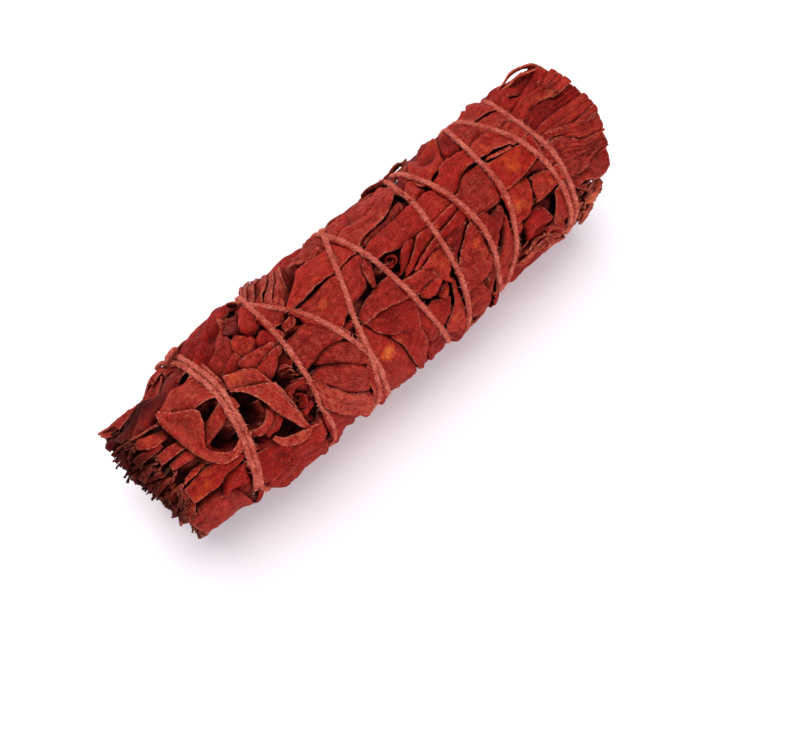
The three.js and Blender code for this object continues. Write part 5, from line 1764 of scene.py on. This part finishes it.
def plain_fibre():
    """A closed three-sided spike of unit length and width, standing on its broad end."""
    rows = 3
    bm = bmesh.new()
    made = bmesh.ops.create_grid(bm, x_segments=3, y_segments=rows, size=1.0)
    for k, vert in enumerate(made["verts"]):
        row, column = divmod(k, 4)
        turn = -column * 2 * math.pi / 3
        vert.co = (math.cos(turn), math.sin(turn), row / rows)
    bmesh.ops.remove_doubles(bm, verts=bm.verts, dist=1e-4)
    open_edges = [edge for edge in bm.edges if edge.is_boundary]
    bmesh.ops.holes_fill(bm, edges=open_edges, sides=4)
    bmesh.ops.recalc_face_normals(bm, faces=bm.faces)
    mesh = bpy.data.meshes.new("Fibre")
    bm.to_mesh(mesh)
    bm.free()
    return mesh


def doubled(mesh, times):
    """A mesh with its shape repeated, twice as many each time."""
    for _ in range(times):
        bm = bmesh.new()
        bm.from_mesh(mesh)
        bm.from_mesh(mesh)
        bm.to_mesh(mesh)
        bm.free()
    return mesh


def fuzz_mesh(line):
    """Stray cotton fibres round the thread, each a thin spike that curls."""
    mesh = plain_fibre()
    size = len(mesh.vertices)
    mesh = doubled(mesh, FUZZ_DOUBLINGS)
    count = len(mesh.vertices) // size
    own = np.empty(len(mesh.vertices) * 3, np.float32)
    mesh.vertices.foreach_get("co", own)
    own = own.reshape(count, size, 3)
    forward, outward, aside = yarn_frames(line)
    draw = np.random.default_rng(FUZZ_SEED)
    k = draw.integers(0, len(line), count)
    turn = draw.uniform(-1.9, 1.9, count)[:, None]
    out = outward[k] * np.cos(turn) + aside[k] * np.sin(turn)
    lean = forward[k] * (draw.choice((-1, 1), count) * draw.uniform(0.4, 2.4, count))[:, None]
    heading = out * draw.uniform(0.3, 1.0, count)[:, None] + lean
    heading /= np.linalg.norm(heading, axis=1)[:, None]
    side = np.cross(heading, (0.3, 0.5, 0.8))
    side /= np.linalg.norm(side, axis=1)[:, None]
    other = np.cross(heading, side)
    bend = side * draw.uniform(-0.6, 0.6, count)[:, None] + other * draw.uniform(-0.6, 0.6, count)[:, None]
    length = FUZZ_LENGTH[0] + (FUZZ_LENGTH[1] - FUZZ_LENGTH[0]) * draw.random(count)[:, None] ** 2.5
    width = draw.uniform(*FUZZ_WIDTH, count)[:, None, None]
    start = line[k] + out * THREAD_RADIUS * 0.85
    length = np.minimum(length, np.maximum(start[:, 2:] * 0.6, 0.1))
    share = own[..., 2:]
    way = heading[:, None] * share + bend[:, None] * share ** 2
    round_it = side[:, None] * own[..., :1] + other[:, None] * own[..., 1:2]
    points = start[:, None] + way * length[:, None] + round_it * width * (1 - 0.85 * share)
    points[..., 2] = np.maximum(points[..., 2], FLOOR_GAP)
    set_places(mesh, points * MM)
    # A groove value below zero marks the fuzz, which the yarn paints pale as a painted highlight
    set_values(mesh, "groove", "FLOAT", np.full(len(mesh.vertices), -0.5))
    set_values(mesh, "strand", "FLOAT_VECTOR", np.repeat(start, size, axis=0))
    mesh.update()
    return mesh


def binding_thread(material):
    centres = thread_centres()
    line, stops = even_steps(centres, THREAD_STEP)
    bm = bmesh.new()
    strand = bm.verts.layers.float_vector.new("strand")
    groove = bm.verts.layers.float.new("groove")
    layers = (strand, groove)
    yarn_tube(bm, line, stops, layers)
    for extra in [knot_points(), *(smooth_line(tail_points(ends), 8) for ends in TAILS)]:
        steps, distance = even_steps(extra, THREAD_STEP)
        yarn_tube(bm, steps, distance, layers, THREAD_RADIUS * TAIL_SHARE)
    close_ends(bm)
    for face in bm.faces:
        face.smooth = True
    yarn = finish_mesh("binding_thread_yarn", bm, material)
    mesh = fuzz_mesh(line)
    mesh.materials.append(material)
    return yarn, link_piece("binding_thread_fuzz", mesh)


def finish_mesh(name, bm, material):
    mesh = bpy.data.meshes.new(name)
    bm.to_mesh(mesh)
    bm.free()
    mesh.materials.append(material)
    return link_piece(name, mesh)


# Woody stems: stubs that show at the cut ends
def stem_rod(bm, along_from, along_to, angle, distance, radius):
    made = bmesh.ops.create_grid(bm, x_segments=STEM_SIDES, y_segments=STEM_ROWS, size=1.0)
    centre = to_frame(0, angle, distance)
    wobble = chance.uniform(0, 6)
    for k, vert in enumerate(made["verts"]):
        row, column = divmod(k, STEM_SIDES + 1)
        t = row / STEM_ROWS
        turn = column * 2 * math.pi / STEM_SIDES
        rough = 1 + 0.12 * math.sin(3 * turn + wobble) + 0.08 * math.sin(7 * t * 6 + wobble)
        bend = 0.3 * math.sin(t * 5 + wobble)
        vert.co = (
            (ALONG_SHIFT + along_from + (along_to - along_from) * t) * MM,
            centre[1] + (radius * rough * math.cos(turn) + bend) * MM,
            centre[2] + (radius * rough * math.sin(turn) + bend) * MM,
        )
    bmesh.ops.remove_doubles(bm, verts=made["verts"], dist=1e-7)


def stems(material):
    numbers = range(1, SPRIG_COUNT + 1)
    groups = {number: bmesh.new() for number in [*numbers, "middle"]}
    ends = (rim_at(NEAR_RIM, 0, 0) - 0.5, rim_at(FAR_RIM, 0, 0) + 0.6)
    stem_rod(groups["middle"], *ends, 0, 0.3, MIDDLE_STEM)
    for number in numbers:
        angle = (number - 1 + chance.uniform(0.35, 0.65)) * SECTOR
        near = rim_at(NEAR_RIM, angle, STEM_RING) - chance.uniform(-0.5, 0.6)
        far = rim_at(FAR_RIM, angle, STEM_RING) + chance.uniform(-0.8, 0.9)
        stem_rod(groups[number], near, far, angle, STEM_RING, chance.uniform(0.8, 1.2))
        for _ in range(3):
            twig = angle + chance.uniform(-16, 16)
            deep = chance.uniform(5.5, 11.0)
            near = rim_at(NEAR_RIM, twig, deep) - chance.uniform(-1, 0.9)
            far = rim_at(FAR_RIM, twig, deep) + chance.uniform(-1, 1.3)
            stem_rod(groups[number], near, TWIG_NEAR, twig, deep, chance.uniform(*TWIG_RADIUS))
            stem_rod(groups[number], TWIG_FAR, far, twig, deep, chance.uniform(*TWIG_RADIUS))
    for angle, distance, far in LOOSE_STALKS:
        stem_rod(groups[sprig_of(angle)], 46, far, angle, distance, 0.4)
    pieces = []
    for number, bm in groups.items():
        open_edges = [edge for edge in bm.edges if edge.is_boundary]
        bmesh.ops.holes_fill(bm, edges=open_edges, sides=12)
        bmesh.ops.recalc_face_normals(bm, faces=bm.faces)
        pieces.append(finish_mesh(f"sprig_{number}_stems", bm, material))
    return pieces


def place_sprigs(material):
    for number in [*range(1, SPRIG_COUNT + 1), "middle"]:
        members = [leaf for leaf in leaves if leaf["sprig"] == number]
        piece = sprig_piece(f"sprig_{number}_leaves", members)
        piece.data.materials.append(material)
        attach(piece, "root")
        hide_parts(f"sprig_{number}")


# Camera, floor and light
def make_camera():
    data = bpy.data.cameras.new("Camera")
    data.lens = CAMERA_LENS
    data.sensor_width = 36
    camera = bpy.data.objects.new("Camera", data)
    bpy.context.scene.collection.objects.link(camera)
    right = Vector(CAMERA_RIGHT).normalized()
    back = -Vector(CAMERA_FORWARD).normalized()
    up = back.cross(right)
    camera.matrix_world = Matrix((
        (right.x, up.x, back.x, CAMERA_PLACE[0] * MM),
        (right.y, up.y, back.y, CAMERA_PLACE[1] * MM),
        (right.z, up.z, back.z, CAMERA_PLACE[2] * MM),
        (0, 0, 0, 1),
    ))
    bpy.context.scene.camera = camera


def area_light(name, place, size, power, colour):
    """A round light that points at the bundle."""
    data = bpy.data.lights.new(name, "AREA")
    data.shape = "DISK"
    data.size = size
    data.energy = power
    data.color = colour
    light = bpy.data.objects.new(name, data)
    bpy.context.scene.collection.objects.link(light)
    light.location = place
    light.rotation_mode = "QUATERNION"
    light.rotation_quaternion = (-Vector(place)).to_track_quat("-Z", "Y")


def make_room():
    bm = bmesh.new()
    bmesh.ops.create_grid(bm, x_segments=1, y_segments=1, size=FLOOR_HALF)
    material, _, shader = new_material("Pale floor", 0.9)
    shader.inputs["Base Color"].default_value = FLOOR_COLOUR
    floor = finish_mesh("floor", bm, material)
    world = bpy.data.worlds.new("Studio")
    world.use_nodes = True
    sky = world.node_tree.nodes["Background"]
    sky.inputs["Color"].default_value = SKY_COLOUR
    sky.inputs["Strength"].default_value = SKY_STRENGTH
    bpy.context.scene.world = world
    for light in LIGHTS:
        area_light(*light)


bpy.context.scene.view_settings.view_transform = "Standard"
make_camera()
for number in range(1, SPRIG_COUNT + 1):
    core_sheet(number)
under_coat()
middle_coat()
end_leaves(low=190, high=395, spacing=24)
side_leaves(low=196, high=392, spacing=21)
near_end_leaves()
far_end_leaves()
near_facets()
lens_leaves()
middle_leaves()
curl_side_leaves()
middle_low_leaves()
middle_high_leaves()
far_leaves()
hero_fold()
pointed_leaf()
curl_walls()
end_folds()
splinters()
squash_leaves()
far_loop()
mark_hollows()

place_sprigs(leaf_material())
for piece in stems(stem_material()):
    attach(piece, "root")
for piece in binding_thread(yarn_material()):
    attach(piece, "root")
    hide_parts("binding_thread")

make_room()
bpy.context.view_layer.update()
